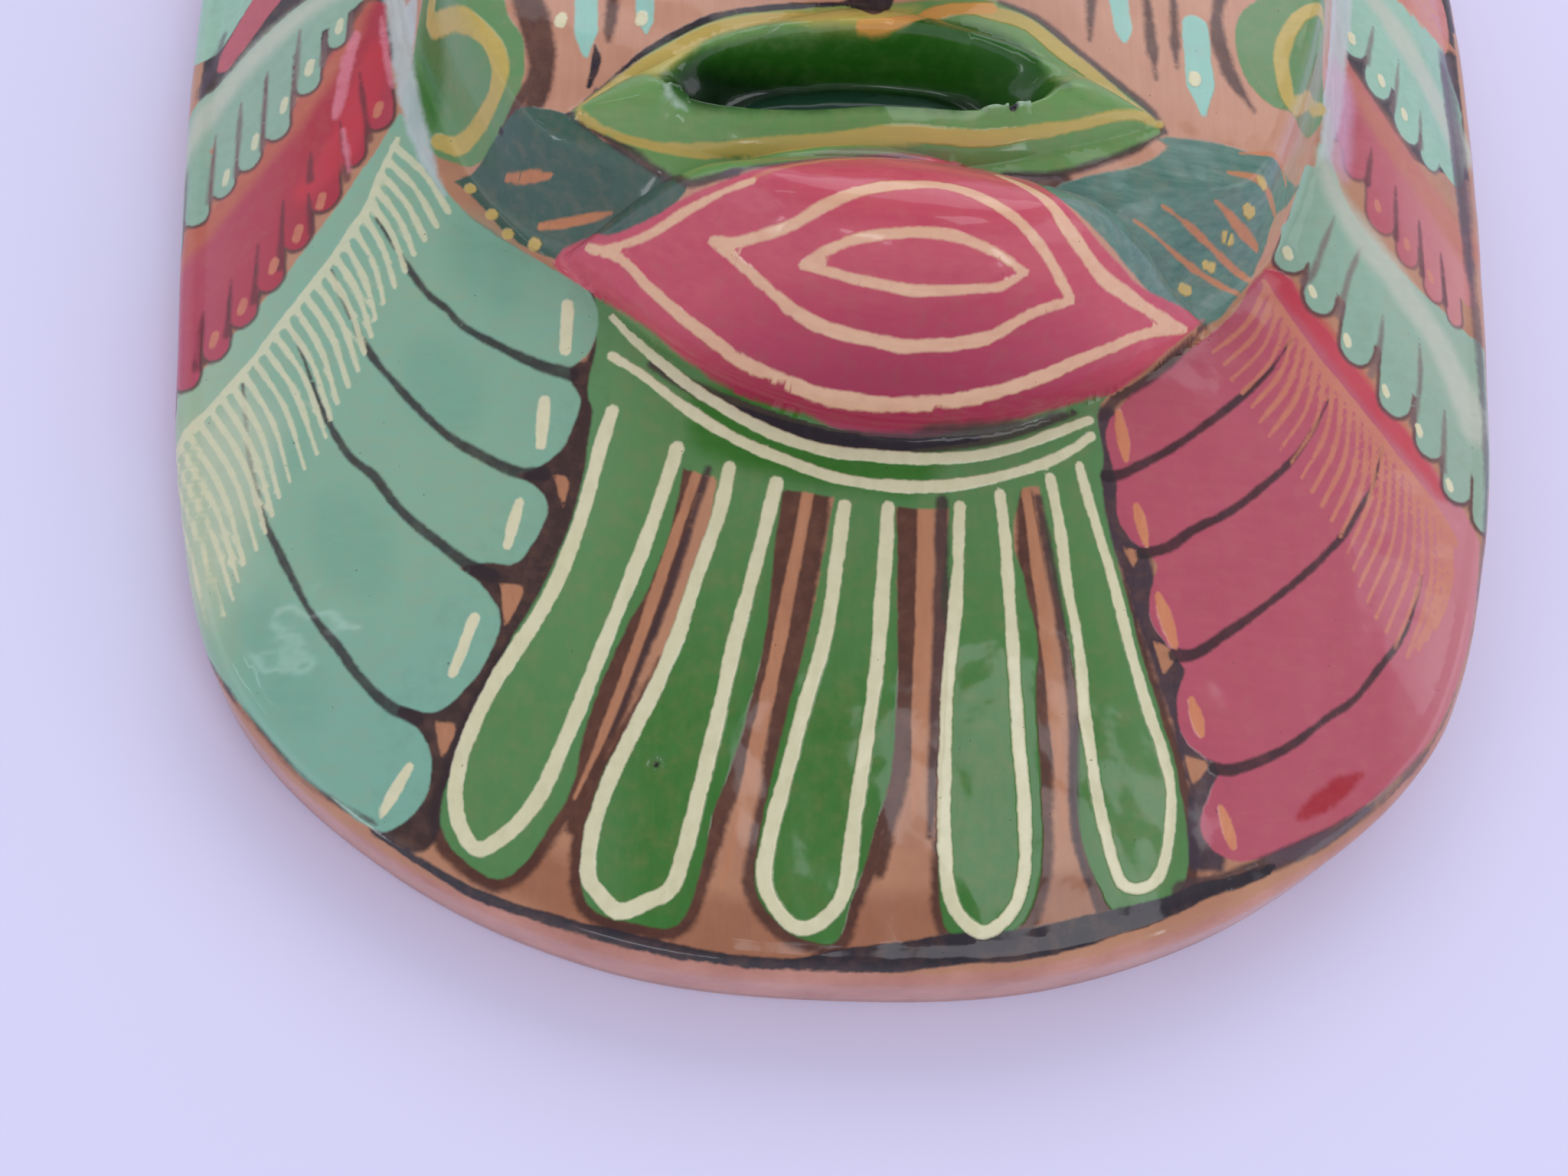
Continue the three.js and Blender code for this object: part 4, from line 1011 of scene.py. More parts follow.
def paint_cheeks():
    """Teal leaves beside the mouth, drops and dots on the cheeks and the green discs at their sides."""
    area("teal",
         [(-48, -21.4), (-46, -20.6), (-44, -20.2), (-39.8, -20), (-34.7, -21.2), (-30, -24.8),
          (-23.4, -28.3), (-21.4, -31.8), (-25.4, -33.4), (-30, -33), (-34.7, -32), (-38.6, -30.1),
          (-41.6, -28.1), (-43.7, -25.6), (-46.4, -22.6)])
    for a, b in (((-41.5, -23.6), (-36.4, -25.6)), ((-37.4, -28.3), (-29.4, -29.4))):
        stroke("slit", [a, ((a[0] + b[0]) / 2, (a[1] + b[1]) / 2 - 0.2), b], 1.1, 0.7, 0.3)
    area("teal_right",
         [(31, -19.6), (34.5, -19.1), (39.8, -19.1), (44.3, -19.5), (48.5, -18), (53.4, -14.4)],
         [(51, -18.4), (48.5, -21.7), (47.8, -24.8), (46.2, -28.2), (44.3, -30.8), (42.1, -33.5),
          (38.3, -35.4), (33.4, -36.9), (27.7, -36.5), (22, -35.4), (18.3, -33.8), (16.6, -31.4)],
         [(19.8, -27.4), (23.7, -25.6), (29.6, -23.2), (33, -20.6)])
    for a, b, width in (((40, -22.5), (48.5, -21.4), 0.8), ((38.7, -25.5), (46.6, -25.2), 0.9),
                        ((32.2, -27.2), (46.2, -28.0), 0.7), ((28.8, -29.5), (44.7, -29.9), 0.6),
                        ((41.5, -19.8), (50, -17.6), 0.6)):
        stroke("slit", [a, ((a[0] + b[0]) / 2, (a[1] + b[1]) / 2 - 0.3), b], width, 0.3, 1.0)
    for x, y in ((-45.9, -22.3), (-43.2, -25.8), (-41.2, -28.3), (-38, -29.7)):
        dot("yellow", x, y, 0.75)
    for x, y in ((44.7, -22.1), (43.6, -24.4), (41.7, -26.7), (40, -29.1), (37.2, -32)):
        dot("yellow", x, y, 0.6, 1.9, 5)
    blob("green",
         [(-54.4, -12), (-54.2, -5), (-52.5, 2), (-48, 4.5), (-43.8, 0), (-42.4, -7.5), (-40.4, -11.3),
          (-39.9, -16.2), (-41.2, -19.4), (-44.2, -20.4), (-47.6, -19.2), (-51, -17.4)])
    stroke("ochre",
           [(-50, 2), (-51.8, -3), (-47.6, -7.5), (-44.2, -11.3), (-42.7, -15.1), (-43.5, -17.3),
            (-46.9, -17.3), (-49.9, -16.2)], 2.4, 0.6, 0.9)
    blob("green_deep", [(-53.4, -9), (-53.2, -3), (-51.4, -0.6), (-50, -5), (-49.8, -10), (-51, -14.6)])
    dot("ink", -42.3, -20.2, 0.5)
    stroke("brown", [(-39.2, -16.4), (-40.6, -19.6), (-43.4, -21.2), (-46.8, -21.4)], 2.0, 0.5, 0.5)
    stroke("brown", [(-42.6, 3), (-41, -4), (-38.6, -11), (-38.0, -17), (-39.2, -22.6)], 3.4, 0.3, 0.5)
    blob("green",
         [(41.8, -5.1), (42.6, -1), (45.6, 2.4), (50, 5.5), (55, 5), (58, -1), (55.6, -7), (50.6, -12),
          (46.2, -12.9), (42.8, -9.8)])
    stroke("ochre", [(55, 3.4), (50.4, 0.6), (47.6, -5.7), (48.6, -11.9), (52.8, -7.2), (57.4, -2.4)],
           2.0, 0.7, 0.7)
    stroke("brown", [(41, 4), (39.6, -3), (40.6, -9), (43.6, -14)], 2.0, 0.4, 0.3)
    for x, y, tall, width in ((-33.6, -5, 9, 2.6), (-27, -5.6, 5.4, 2), (27.6, -1.6, 6, 2.2),
                              (36.8, -4, 11.5, 3.4)):
        stroke("drop", [(x, y), (x + 0.4, y - tall)], width, 1.0, 0.25)
    for x, y in ((-36.2, -9.3), (36.4, -11.1), (-27.2, -9.2)):
        dot("cream", x, y, 0.7, 1.5, 80)
    stroke("ink", [(-32.2, -12.6), (-32.0, -15), (-32.6, -17.8)], 1.0, 0.3, 0.6)
    for a, b in (((34.3, 0), (34.2, -9.9)), ((-30.4, -4), (-30.8, -12)), ((24.6, 0), (23.8, -8)),
                 ((31, -1), (31.6, -12))):
        stroke("brown", [a, b], 1.3, 0.7, 0.3)
    # Whitish strips along the creases at the sides of the face: light paint with a painted reflection of the
    # bright surroundings on it.
    area("pale_and_sheen", [(-57.8, 3), (-56.2, -6.4), (-54.4, -13.2), (-51.6, -19.6), (-49.4, -23.5)],
         [(-48.9, -23), (-50.2, -19.2), (-52.4, -12), (-54, -4.5), (-53.8, 3)])
    stroke("pale_and_sheen", [(57.4, -9), (58.6, -4), (59.8, 3), (60.6, 11), (60.8, 18)], 3.0, 0.5, 0.8)
    # A pinkish painted reflection on the right crease.
    area("lilac_reflection", [(58.2, 3), (58.4, -5), (58, -10)], [(60, -12), (61.4, -6), (62, 2), (60, 6)])


# Plumes on the part of the collar that the photograph cuts off: angles from the chin end, in degrees.
PLUME_ANGLES = [118, 128, 138, 148, 158.5, 169]
PLUME_SWEEPS = [10, 10, 9.5, 8, 5.5, 3]
PLUME_WIDTH = 18.0
PLUME_COATS = ["red2", "mint3", "green", "red2", "mint3", "green"]
PLUME_SHAPE = [(0.0, 0.25), (0.12, 0.55), (0.3, 0.8), (0.55, 1.0), (0.75, 0.98), (0.88, 0.78),
               (0.96, 0.45), (1.0, 0.0)]
PLUME_BARBS = 7
PLUME_ROOT_OUT = 4.5
PLUME_TIP_INSET = 2.4
# The quill of a plume starts so far from its root and ends at a share of its length. Its barbs start
# along a stretch of it, and reach out and forward by shares of the plume's width.
QUILL = dict(width=1.7, low=2.0, high=0.88)
BARB = dict(width=0.9, low=0.16, stretch=0.64, out=0.34, forward=0.9, bow=0.3)


def crease_place(degrees, side, out=0.0):
    angle = np.array([math.radians(degrees) * side])
    x, y = face_point(angle, 1.0)
    return np.array([x[0] + out * math.sin(angle[0]), y[0] - out * math.cos(angle[0])])


def edge_place(degrees, side, inset):
    angle = np.array([math.radians(degrees) * side])
    x, y = on_ray(angle, radius_at(MASK_RADII, angle) - inset)
    return np.array([x[0], y[0]])


def crease_line(low, high, step, side, out):
    """Points along the crease round the face, from one angle to another."""
    return [crease_place(degrees, side, out) for degrees in np.arange(low, high, step)]


def edge_line(low, high, step, side, inset):
    """Points along the mask's edge, from one angle to another."""
    return [edge_place(degrees, side, inset) for degrees in np.arange(low, high, step)]


def paint_plume(coat, root, tip, width):
    axis = (tip - root) / np.hypot(*(tip - root))
    across = np.array([axis[1], -axis[0]])
    length = np.hypot(*(tip - root))
    left, right = [], []
    for share, part in PLUME_SHAPE:
        middle = root + axis * length * share
        left.append(tuple(middle - across * width / 2 * part))
        right.append(tuple(middle + across * width / 2 * part))
    area(coat, left[:-1] + [tuple(tip)], [tuple(tip)] + right[:-1][::-1])
    line = {"red2": "orange"}.get(coat, "cream_soft")
    stroke(line, [root + axis * QUILL["low"], root + axis * length * QUILL["high"]], QUILL["width"], 0.6, 0.5)
    for i in range(PLUME_BARBS):
        share = BARB["low"] + BARB["stretch"] * i / PLUME_BARBS
        start = root + axis * length * share
        reach = width * BARB["out"] * np.interp(share, *zip(*PLUME_SHAPE))
        for way in (-1, 1):
            end = start + across * way * reach + axis * reach * BARB["forward"]
            middle = (start + end) / 2 + across * way * BARB["bow"]
            stroke(line, [start, middle, end], BARB["width"], 0.9, 0.5)


def paint_plumes():
    for side in (-1, 1):
        for degrees, sweep, coat in zip(PLUME_ANGLES, PLUME_SWEEPS, PLUME_COATS):
            root = crease_place(degrees, side, PLUME_ROOT_OUT)
            tip = edge_place(degrees - sweep / 2, side, PLUME_TIP_INSET)
            paint_plume(coat, root, tip, PLUME_WIDTH)
        stroke("ink", edge_line(112, 181, 4, side, 1.6), 1.5)
        # The whitish strip with its painted reflection runs on round the upper crease.
        stroke("pale_and_sheen", crease_line(100, 181, 4, side, 0.6), 4.2, 0.7, 1.0)
        for degrees in np.arange(118, 178, 10):
            x, y = crease_place(degrees, side, 4.6)
            dot("cream", x, y, 0.9)
    paint_plume("mint3", crease_place(180, 1, PLUME_ROOT_OUT), edge_place(180, 1, PLUME_TIP_INSET),
                PLUME_WIDTH)
    inner = crease_line(94, 181, 6, 1, 2) + crease_line(180, 93, -6, -1, 2)
    outer = edge_line(94, 181, 6, -1, 1.8) + edge_line(180, 93, -6, 1, 1.8)
    area("ink_plumes", inner, outer)


# The opening of an eye, in shares of its half width and height, and how much of the eyeball it shows.
EYE_SHAPE = [(-1.0, 0.0), (-0.6, 0.62), (-0.1, 0.92), (0.45, 0.7), (1.0, 0.05), (0.5, -0.62),
             (-0.1, -0.85), (-0.62, -0.6)]
EYE_HALF = EYEBALL["half"] * 0.86
EYE_TALL = EYEBALL["up"] * 0.74
LID_ARCH = 0.018


def eye_points(cx, cy, side, shares):
    return [(cx + side * EYE_HALF * a, cy + EYE_TALL * b) for a, b in shares]


def paint_eyes():
    """Calm open eyes of even size, drawn from the named sizes of the eyeballs."""
    for side in (-1, 1):
        cx, cy = FACE_SHIFT + side * EYE["apart"], EYE["y"] + 0.6
        blob("eye_white", eye_points(cx, cy, side, EYE_SHAPE))
        upper = [(-1.15, -0.1)] + EYE_SHAPE[1:4] + [(1.2, 0.15)]
        stroke("ink", eye_points(cx, cy, side, upper), 1.7, 0.5, 0.5)
        lower = [EYE_SHAPE[0]] + EYE_SHAPE[:4:-1] + [EYE_SHAPE[4]]
        stroke("ink_soft", eye_points(cx, cy, side, lower), 0.8, 0.5, 0.5)
        dot("iris", cx, cy + 0.3, EYE_TALL * 0.78)
        dot("pupil", cx, cy + 0.3, EYE_TALL * 0.4)
        dot("glint", cx - 1.2, cy + 1.8, 0.55)
        lid = [(cx + side * a, cy + 7.6 - LID_ARCH * (a * a)) for a in (-12, -6, 0, 6, 12, 16)]
        stroke("ochre", lid, 1.2, 0.4, 0.4)
        brow = [(cx + side * a, BROW["y"] + 0.4 - BROW["arch"] * a * a) for a in (-15, -10, -4, 2, 8, 14, 19)]
        stroke("ink", brow, 3.0, 0.5, 0.2)
        stroke("ochre", [(px, py + 3.0) for px, py in brow], 1.0, 0.4, 0.3)


# The head band over the brows: where it narrows towards its ends, its inset and its width.
BAND = dict(low=128, high=142, inset=2.6, width=8.9)
# The round flower on the forehead: height, coats with their radii, ring and petals.
FLOWER_Y = 60.0
FLOWER = (("green", 7.6), ("ochre", 5.6), ("pink", 4.4), ("cream", 1.3))
FLOWER_RING = 8.3
PETALS = 8
PETAL = (10.4, 15.4)


def paint_upper_face():
    middle = FACE_SHIFT
    # Lighter clay over the whole face, which also stands for the painted sheen that the cheeks catch.
    around = [face_point(np.array([math.radians(a)]), 0.985) for a in range(0, 360, 12)]
    blob("face_clay_and_sheen", [tuple(np.concatenate(place)) for place in around])
    stroke("cream", [(middle, 46), (middle, 34), (middle, 24)], 1.2, 0.4, 0.4)
    for side in (-1, 1):
        stroke("brown", [(middle + side * 7, 44), (middle + side * 7.5, 30), (middle + side * 12, 16),
                         (middle + side * 15.5, 8)], 1.3, 0.3, 0.6)
        dot("ink", middle + side * 5.2, 1.6, 1.3, 1.5, side * 20)
        for i, tall in enumerate((6.5, 8.5, 10, 8.5, 6.5)):
            x, y = middle + side * (24 + 6 * i), 21 - 1.1 * (i - 1.5) ** 2
            stroke("drop", [(x, y), (x + side * 0.6, y - tall)], 2.8, 1.0, 0.25)
            dot("cream", x + side * 3, y - tall * 0.6, 0.7)
        for i in range(5):
            dot("yellow", middle + side * (38.5 + i * 2.1), 40 - i * i * 0.45, 0.75)
    upper, lower = [], []
    for side, angles in ((1, np.arange(BAND["low"], 181, 4)), (-1, np.arange(180, BAND["low"] - 1, -4))):
        for degrees in angles:
            width = BAND["width"] * ease(BAND["low"], BAND["high"], degrees)
            upper.append(crease_place(degrees, side, -BAND["inset"]))
            lower.append(crease_place(degrees, side, -BAND["inset"] - width))
    area("green", upper, lower[::-1])
    stroke("cream", lower, 1.3, 0.6, 0.6)
    stroke("ochre", upper, 1.3, 0.6, 0.6)
    for side in (-1, 1):
        for a in np.arange(133, 176, 7):
            x, y = crease_place(a, side, -7)
            dot("pink", x, y, 1.9, 1.3, 90 - a if side > 0 else a - 90)
            dot("cream", x, y, 0.6)
    for coat, half in FLOWER:
        dot(coat, middle, FLOWER_Y, half)
    ring = [(middle + FLOWER_RING * math.sin(a), FLOWER_Y - FLOWER_RING * math.cos(a))
            for a in np.arange(0, 6.5, 0.4)]
    stroke("ink", ring, 1.0)
    for k in range(PETALS):
        a = 2 * math.pi * k / PETALS
        petal = [(middle + far * math.sin(a), FLOWER_Y - far * math.cos(a)) for far in PETAL]
        stroke("drop", petal, 2.6, 1.0, 0.3)


# Where the varnish and paint stop on the rolled edge and side, in millimetres past the start of the
# roll: far down the left side, early along the bottom and the right.
PAINT_ENDS = [(-180, 6.5), (-150, 7.5), (-120, 9.0), (-60, 9.0), (-40, 6.0), (-20, 3.0), (20, 2.8), (60, 3.4),
              (90, 5.0), (130, 6.0), (180, 6.5)]


def bare_distance(flat):
    """Signed distance to the bare clay, above 0 where it is bare."""
    angle = np.arctan2(flat[:, 0], CENTRE_Y - flat[:, 1])
    roll_start = radius_at(MASK_RADII, angle) - SKIN_INSET - EDGE_ROUND
    gone = np.hypot(flat[:, 0], flat[:, 1] - CENTRE_Y) - roll_start
    return gone - np.interp(np.degrees(angle), *zip(*PAINT_ENDS))


# The material

def srgb(r, g, b):
    """The linear colour of an sRGB one that is given from 0 to 255."""
    shares = [c / 255 for c in (r, g, b)]
    return tuple(((c + 0.055) / 1.055) ** 2.4 if c > 0.04 else c / 12.92 for c in shares) + (1.0,)


# Coats from the lowest to the topmost: name, two colours that it wavers between, softness of its
# edge in mm, how well it covers, which way its brush streaks run and which relief it is part of.
DOWN, SLANT, LEVEL = 0, 1, 2
FLAT, THIN, RAISED, HIGH = None, "thin_paint", "raised_paint", "high_paint"
# How thick the paint of each relief stands, in mm.
RELIEFS = {THIN: 0.02, RAISED: 0.045, HIGH: 0.085}
PAINTS = [
    # Lighter clay of the face, partly a painted sheen on the cheeks.
    ("face_clay_and_sheen", (205, 153, 126), (190, 136, 110), 1.0, 0.75, DOWN, FLAT),
    ("clay_dark", (126, 72, 46), (150, 92, 62), 1.6, 0.6, DOWN, FLAT),
    ("brown", (78, 42, 33), (53, 29, 26), 0.45, 0.9, DOWN, FLAT),
    ("ink_plumes", (58, 44, 46), (44, 38, 42), 0.3, 1.0, DOWN, FLAT),
    ("ink_under", (41, 33, 36), (55, 39, 39), 0.35, 0.95, DOWN, FLAT),
    ("violet", (68, 55, 66), (46, 36, 45), 0.5, 0.95, DOWN, FLAT),
    ("strip", (190, 134, 97), (176, 119, 86), 0.2, 0.95, DOWN, FLAT),
    ("green", (51, 111, 39), (66, 122, 54), 0.22, 0.98, DOWN, THIN),
    ("green_deep", (42, 104, 18), (56, 116, 34), 1.6, 0.95, LEVEL, FLAT),
    ("mint1", (137, 174, 142), (128, 174, 150), 0.2, 1.0, SLANT, THIN),
    ("mint_patch", (96, 156, 136), (124, 170, 142), 2.2, 0.5, SLANT, FLAT),
    ("dark0", (86, 40, 44), (70, 36, 40), 0.3, 0.9, SLANT, FLAT),
    ("red1", (177, 80, 96), (185, 87, 102), 0.2, 1.0, SLANT, THIN),
    ("orange_low", (190, 110, 80), (180, 94, 72), 1.2, 0.85, SLANT, FLAT),
    ("red_bright", (198, 44, 54), (188, 54, 68), 0.9, 0.75, SLANT, FLAT),
    ("dark1", (92, 62, 62), (74, 50, 52), 0.3, 0.9, SLANT, FLAT),
    ("mint2", (135, 171, 147), (145, 177, 154), 0.2, 1.0, SLANT, THIN),
    ("dark2", (120, 62, 70), (100, 54, 60), 0.3, 0.8, SLANT, FLAT),
    ("red2", (175, 76, 87), (186, 88, 99), 0.25, 1.0, SLANT, THIN),
    ("dark3", (104, 90, 92), (90, 78, 80), 0.3, 0.8, SLANT, FLAT),
    ("mint3", (140, 185, 159), (155, 193, 168), 0.2, 1.0, SLANT, THIN),
    ("gap_red", (104, 40, 48), (84, 36, 42), 0.35, 0.8, SLANT, FLAT),
    ("gap_mint", (127, 103, 98), (100, 77, 78), 0.35, 0.75, SLANT, FLAT),
    ("rose", (217, 134, 145), (207, 108, 123), 0.4, 0.85, SLANT, FLAT),
    ("rose_wash", (219, 161, 188), (207, 141, 172), 0.8, 0.85, SLANT, FLAT),
    ("orange_wash", (192, 117, 88), (180, 102, 87), 1.3, 0.85, SLANT, FLAT),
    ("cream_wash", (191, 195, 174), (178, 187, 168), 1.2, 0.88, SLANT, FLAT),
    ("violet_soft", (112, 92, 116), (96, 80, 96), 0.8, 0.8, DOWN, FLAT),
    ("crimson", (158, 24, 34), (164, 34, 44), 0.5, 0.9, SLANT, THIN),
    ("teal", (65, 96, 81), (58, 88, 74), 0.2, 1.0, LEVEL, THIN),
    ("teal_right", (106, 141, 124), (58, 102, 89), 0.25, 1.0, LEVEL, THIN),
    # Whitish paint with a painted reflection on it, and a pinkish painted reflection beside it.
    ("pale_and_sheen", (176, 190, 188), (196, 204, 200), 0.5, 0.9, DOWN, FLAT),
    ("lilac_reflection", (214, 176, 200), (200, 160, 190), 1.2, 0.6, DOWN, FLAT),
    ("drop", (141, 194, 176), (155, 201, 184), 0.2, 1.0, DOWN, THIN),
    ("lip", (111, 152, 86), (97, 141, 74), 0.3, 1.0, LEVEL, THIN),
    ("ochre_haze", (212, 177, 80), (185, 175, 86), 1.3, 0.85, LEVEL, FLAT),
    ("slot_rim", (34, 91, 15), (25, 81, 13), 0.9, 0.95, LEVEL, FLAT),
    # Inside the mouth: green made darker as painted shade, and a painted reflection on the roll of its floor.
    ("slot", (6, 32, 7), (10, 41, 12), 1.3, 0.96, LEVEL, FLAT),
    ("slot_floor_sheen", (36, 76, 56), (26, 60, 46), 0.8, 0.8, LEVEL, FLAT),
    # Painted highlight on the glaze beads, partly paler glaze.
    ("pale_glaze_and_highlight", (176, 198, 174), (150, 178, 150), 0.4, 0.85, LEVEL, THIN),
    ("pink", (203, 86, 100), (192, 71, 91), 0.25, 1.0, LEVEL, THIN),
    ("chin_under", (128, 122, 92), (112, 106, 84), 0.7, 0.75, LEVEL, FLAT),
    ("eye_white", (222, 214, 190), (210, 200, 176), 0.2, 1.0, LEVEL, THIN),
    ("iris", (110, 66, 40), (92, 52, 34), 0.2, 1.0, LEVEL, FLAT),
    ("pupil", (30, 24, 26), (34, 28, 28), 0.2, 1.0, LEVEL, FLAT),
    ("ink_soft", (56, 42, 44), (76, 52, 52), 0.35, 0.9, DOWN, FLAT),
    ("ink_faint", (94, 78, 88), (80, 68, 78), 0.5, 0.75, SLANT, FLAT),
    ("ink_thin", (58, 42, 42), (40, 34, 38), 0.25, 0.92, SLANT, THIN),
    ("ink", (36, 30, 36), (48, 40, 46), 0.2, 1.0, DOWN, THIN),
    ("slit", (206, 132, 82), (190, 120, 80), 0.2, 0.9, LEVEL, FLAT),
    ("cream_haze", (199, 203, 170), (190, 197, 168), 3.5, 0.55, SLANT, FLAT),
    ("orange", (209, 138, 99), (196, 119, 92), 0.2, 0.74, SLANT, THIN),
    ("cream_soft", (217, 211, 172), (201, 205, 168), 0.18, 0.88, SLANT, RAISED),
    ("tick", (214, 146, 100), (204, 124, 88), 0.2, 0.95, DOWN, RAISED),
    ("ochre", (190, 164, 82), (203, 172, 92), 0.25, 0.9, LEVEL, RAISED),
    ("orange_ochre", (221, 161, 78), (209, 145, 73), 0.25, 0.95, LEVEL, RAISED),
    ("chin_line", (235, 199, 157), (225, 180, 140), 0.2, 0.85, LEVEL, RAISED),
    ("cream", (215, 209, 166), (225, 219, 182), 0.16, 0.96, DOWN, HIGH),
    ("yellow", (209, 182, 104), (199, 168, 93), 0.2, 0.95, DOWN, HIGH),
    ("glint", (232, 230, 222), (232, 230, 222), 0.2, 1.0, DOWN, FLAT),
]
# How much of the coats below shows through where the brush left the paint thin.
THINNEST = 0.1
GROUND = ((187, 136, 102), (172, 120, 91))
BARE_CLAY = ((196, 142, 122), (172, 116, 96))
# Colours that a coat turns to across the mask: coat, colour, axis, where it starts and is full, strength.
FADES = [
    ("red1", (202, 132, 136), 0, 62, 76, 0.8),
    ("red1", (168, 26, 46), 0, -50, -60, 0.85),
    ("red1", (180, 84, 104), 0, -66, -82, 0.8),
    ("mint1", (122, 174, 153), 1, -66, -84, 0.7),
    ("mint1", (170, 186, 150), 0, -66, -80, 0.6),
    ("green", (104, 146, 96), 1, -84, -58, 0.55),
    ("green", (104, 150, 100), 0, -22, -30, 0.45),
    ("green", (98, 140, 88), 0, 24, 32, 0.5),
    ("mint2", (150, 172, 150), 0, 62, 76, 0.6),
    ("red2", (206, 140, 132), 0, 66, 78, 0.7),
    ("pink", (152, 30, 66), 1, -41, -49, 0.85),
]


# A mesh attribute holds the distances of three coats, which renders faster than one for each.
COAT_NAMES = list(RELIEFS) + ["bare"] + [name for name, *_ in PAINTS]
GROUP_SIZE = 3
GROUPS = [f"coats_{number}" for number in range(math.ceil(len(COAT_NAMES) / GROUP_SIZE))]

# Noises of the painted surface: waves to a millimetre, detail and roughness.
FINE, WIDE = (1.1, 2.0), (0.22, 2.0)
MOTTLE = (0.1, 6.0, 0.6)
THINNING = (0.5, 3.0, 0.6)
SWELL, PIT, SHEEN = (0.28, 2.0), (1.7, 2.0), (0.8, 4.0)
# Brush streaks: the same, how much they are drawn out across and along, and their turn.
STREAKS = {
    DOWN: (1.0, 3.0, 0.6, (1.1, 0.09, 1.0)),
    SLANT: (1.0, 3.0, 0.6, (0.09, 1.1, 1.0), math.radians(-49)),
    LEVEL: (1.0, 3.0, 0.6, (0.09, 1.0, 1.0)),
}
STREAK_SHARE, MOTTLE_SHARE = 0.55, 0.45
# How far the edge of the paint wavers, in mm, and how many times as far where it is a soft one.
FINE_WAVER, WIDE_WAVER = 0.14, 0.26
SOFT_EDGE = 0.4
SOFTER = 2.0
RELIEF_EDGE = 0.2
SWELL_HEIGHT = 0.045
# Pinholes in the glaze: where the noise is this low, their colour, how dark and how deep.
PIT_NONE, PIT_FULL = 0.235, 0.205
PIT_COLOUR = (52, 40, 38)
PIT_COVER = 0.6
PIT_DEPTH = 0.05
# The edge of the varnish on the side: softness in mm, and how far it wavers.
BARE_EDGE = 0.3
BARE_WAVER = 2.5
GLOSSY, DULLER = 0.34, 0.46
BARE_ROUGHER = 0.4
VARNISH = {"Specular IOR Level": 0.08, "Coat Weight": 0.7, "Coat Roughness": 0.1, "Coat IOR": 1.5}

# The unpainted clay of the back: noises as above, and the colours of its smears, grit and pores.
CLAY_MOTTLE = (0.06, 6.0, 0.62)
GRAIN = (2.2, 5.0, 0.65)
SMEAR = (1.0, 4.0, 0.6, (0.35, 0.07, 0.3), math.radians(24))
SMEAR_COLOUR = (146, 92, 72)
GRIT_COLOUR = (222, 184, 160)
PORE_COLOUR = (110, 66, 50)
GRAIN_HEIGHT, SMEAR_HEIGHT = 0.12, 0.5
FLOOR_COLOUR = (224, 221, 246)


class Nodes:
    """Short ways to add shader nodes to one material."""

    def __init__(self, name):
        self.material = bpy.data.materials.new(name)
        self.material.use_nodes = True
        self.tree = self.material.node_tree
        self.tree.nodes.clear()
        self.split_groups = {}

    def add(self, sort, inputs=(), **settings):
        node = self.tree.nodes.new(sort)
        for key, value in settings.items():
            setattr(node, key, value)
        for key, value in dict(inputs).items():
            if isinstance(value, bpy.types.NodeSocket):
                self.tree.links.new(value, node.inputs[key])
            else:
                node.inputs[key].default_value = value
        return node

    def maths(self, operation, *values):
        return self.add("ShaderNodeMath", dict(enumerate(values)), operation=operation).outputs[0]

    def ramp(self, value, low, high, to_low=0.0, to_high=1.0, smooth=False):
        kind = "SMOOTHSTEP" if smooth else "LINEAR"
        return self.add("ShaderNodeMapRange", {0: value, 1: low, 2: high, 3: to_low, 4: to_high},
                        interpolation_type=kind, clamp=not smooth).outputs[0]

    def mix(self, share, a, b):
        return self.add("ShaderNodeMix", {0: share, 6: a, 7: b}, data_type="RGBA").outputs[2]

    def noise(self, place, scale, detail=2.0, roughness=0.5, stretch=None, turn=0.0):
        if stretch:
            place = self.add("ShaderNodeMapping", {0: place, 2: (0, 0, turn), 3: stretch}).outputs[0]
        return self.add("ShaderNodeTexNoise", {"Vector": place, "Scale": scale, "Detail": detail,
                                               "Roughness": roughness}).outputs[0]

    def coat(self, name):
        """A coat's distance, split off from the group of three that it is stored in."""
        group, part = divmod(COAT_NAMES.index(name), GROUP_SIZE)
        if group not in self.split_groups:
            whole = self.add("ShaderNodeAttribute", attribute_name=GROUPS[group]).outputs["Vector"]
            self.split_groups[group] = self.add("ShaderNodeSeparateXYZ", {0: whole}).outputs
        return self.split_groups[group][part]

    def bump(self, height):
        """Turns the normal by a height in millimetres."""
        return self.add("ShaderNodeBump", {"Height": height, "Strength": 1.0, "Distance": MM}).outputs[0]

    def finish(self, inputs):
        shader = self.add("ShaderNodeBsdfPrincipled", inputs)
        self.add("ShaderNodeOutputMaterial", {0: shader.outputs[0]})
        return self.material

    def place_in_mm(self):
        place = self.add("ShaderNodeTexCoord").outputs["Object"]
        return self.add("ShaderNodeVectorMath", {0: place, 3: 1 / MM}, operation="SCALE").outputs[0]


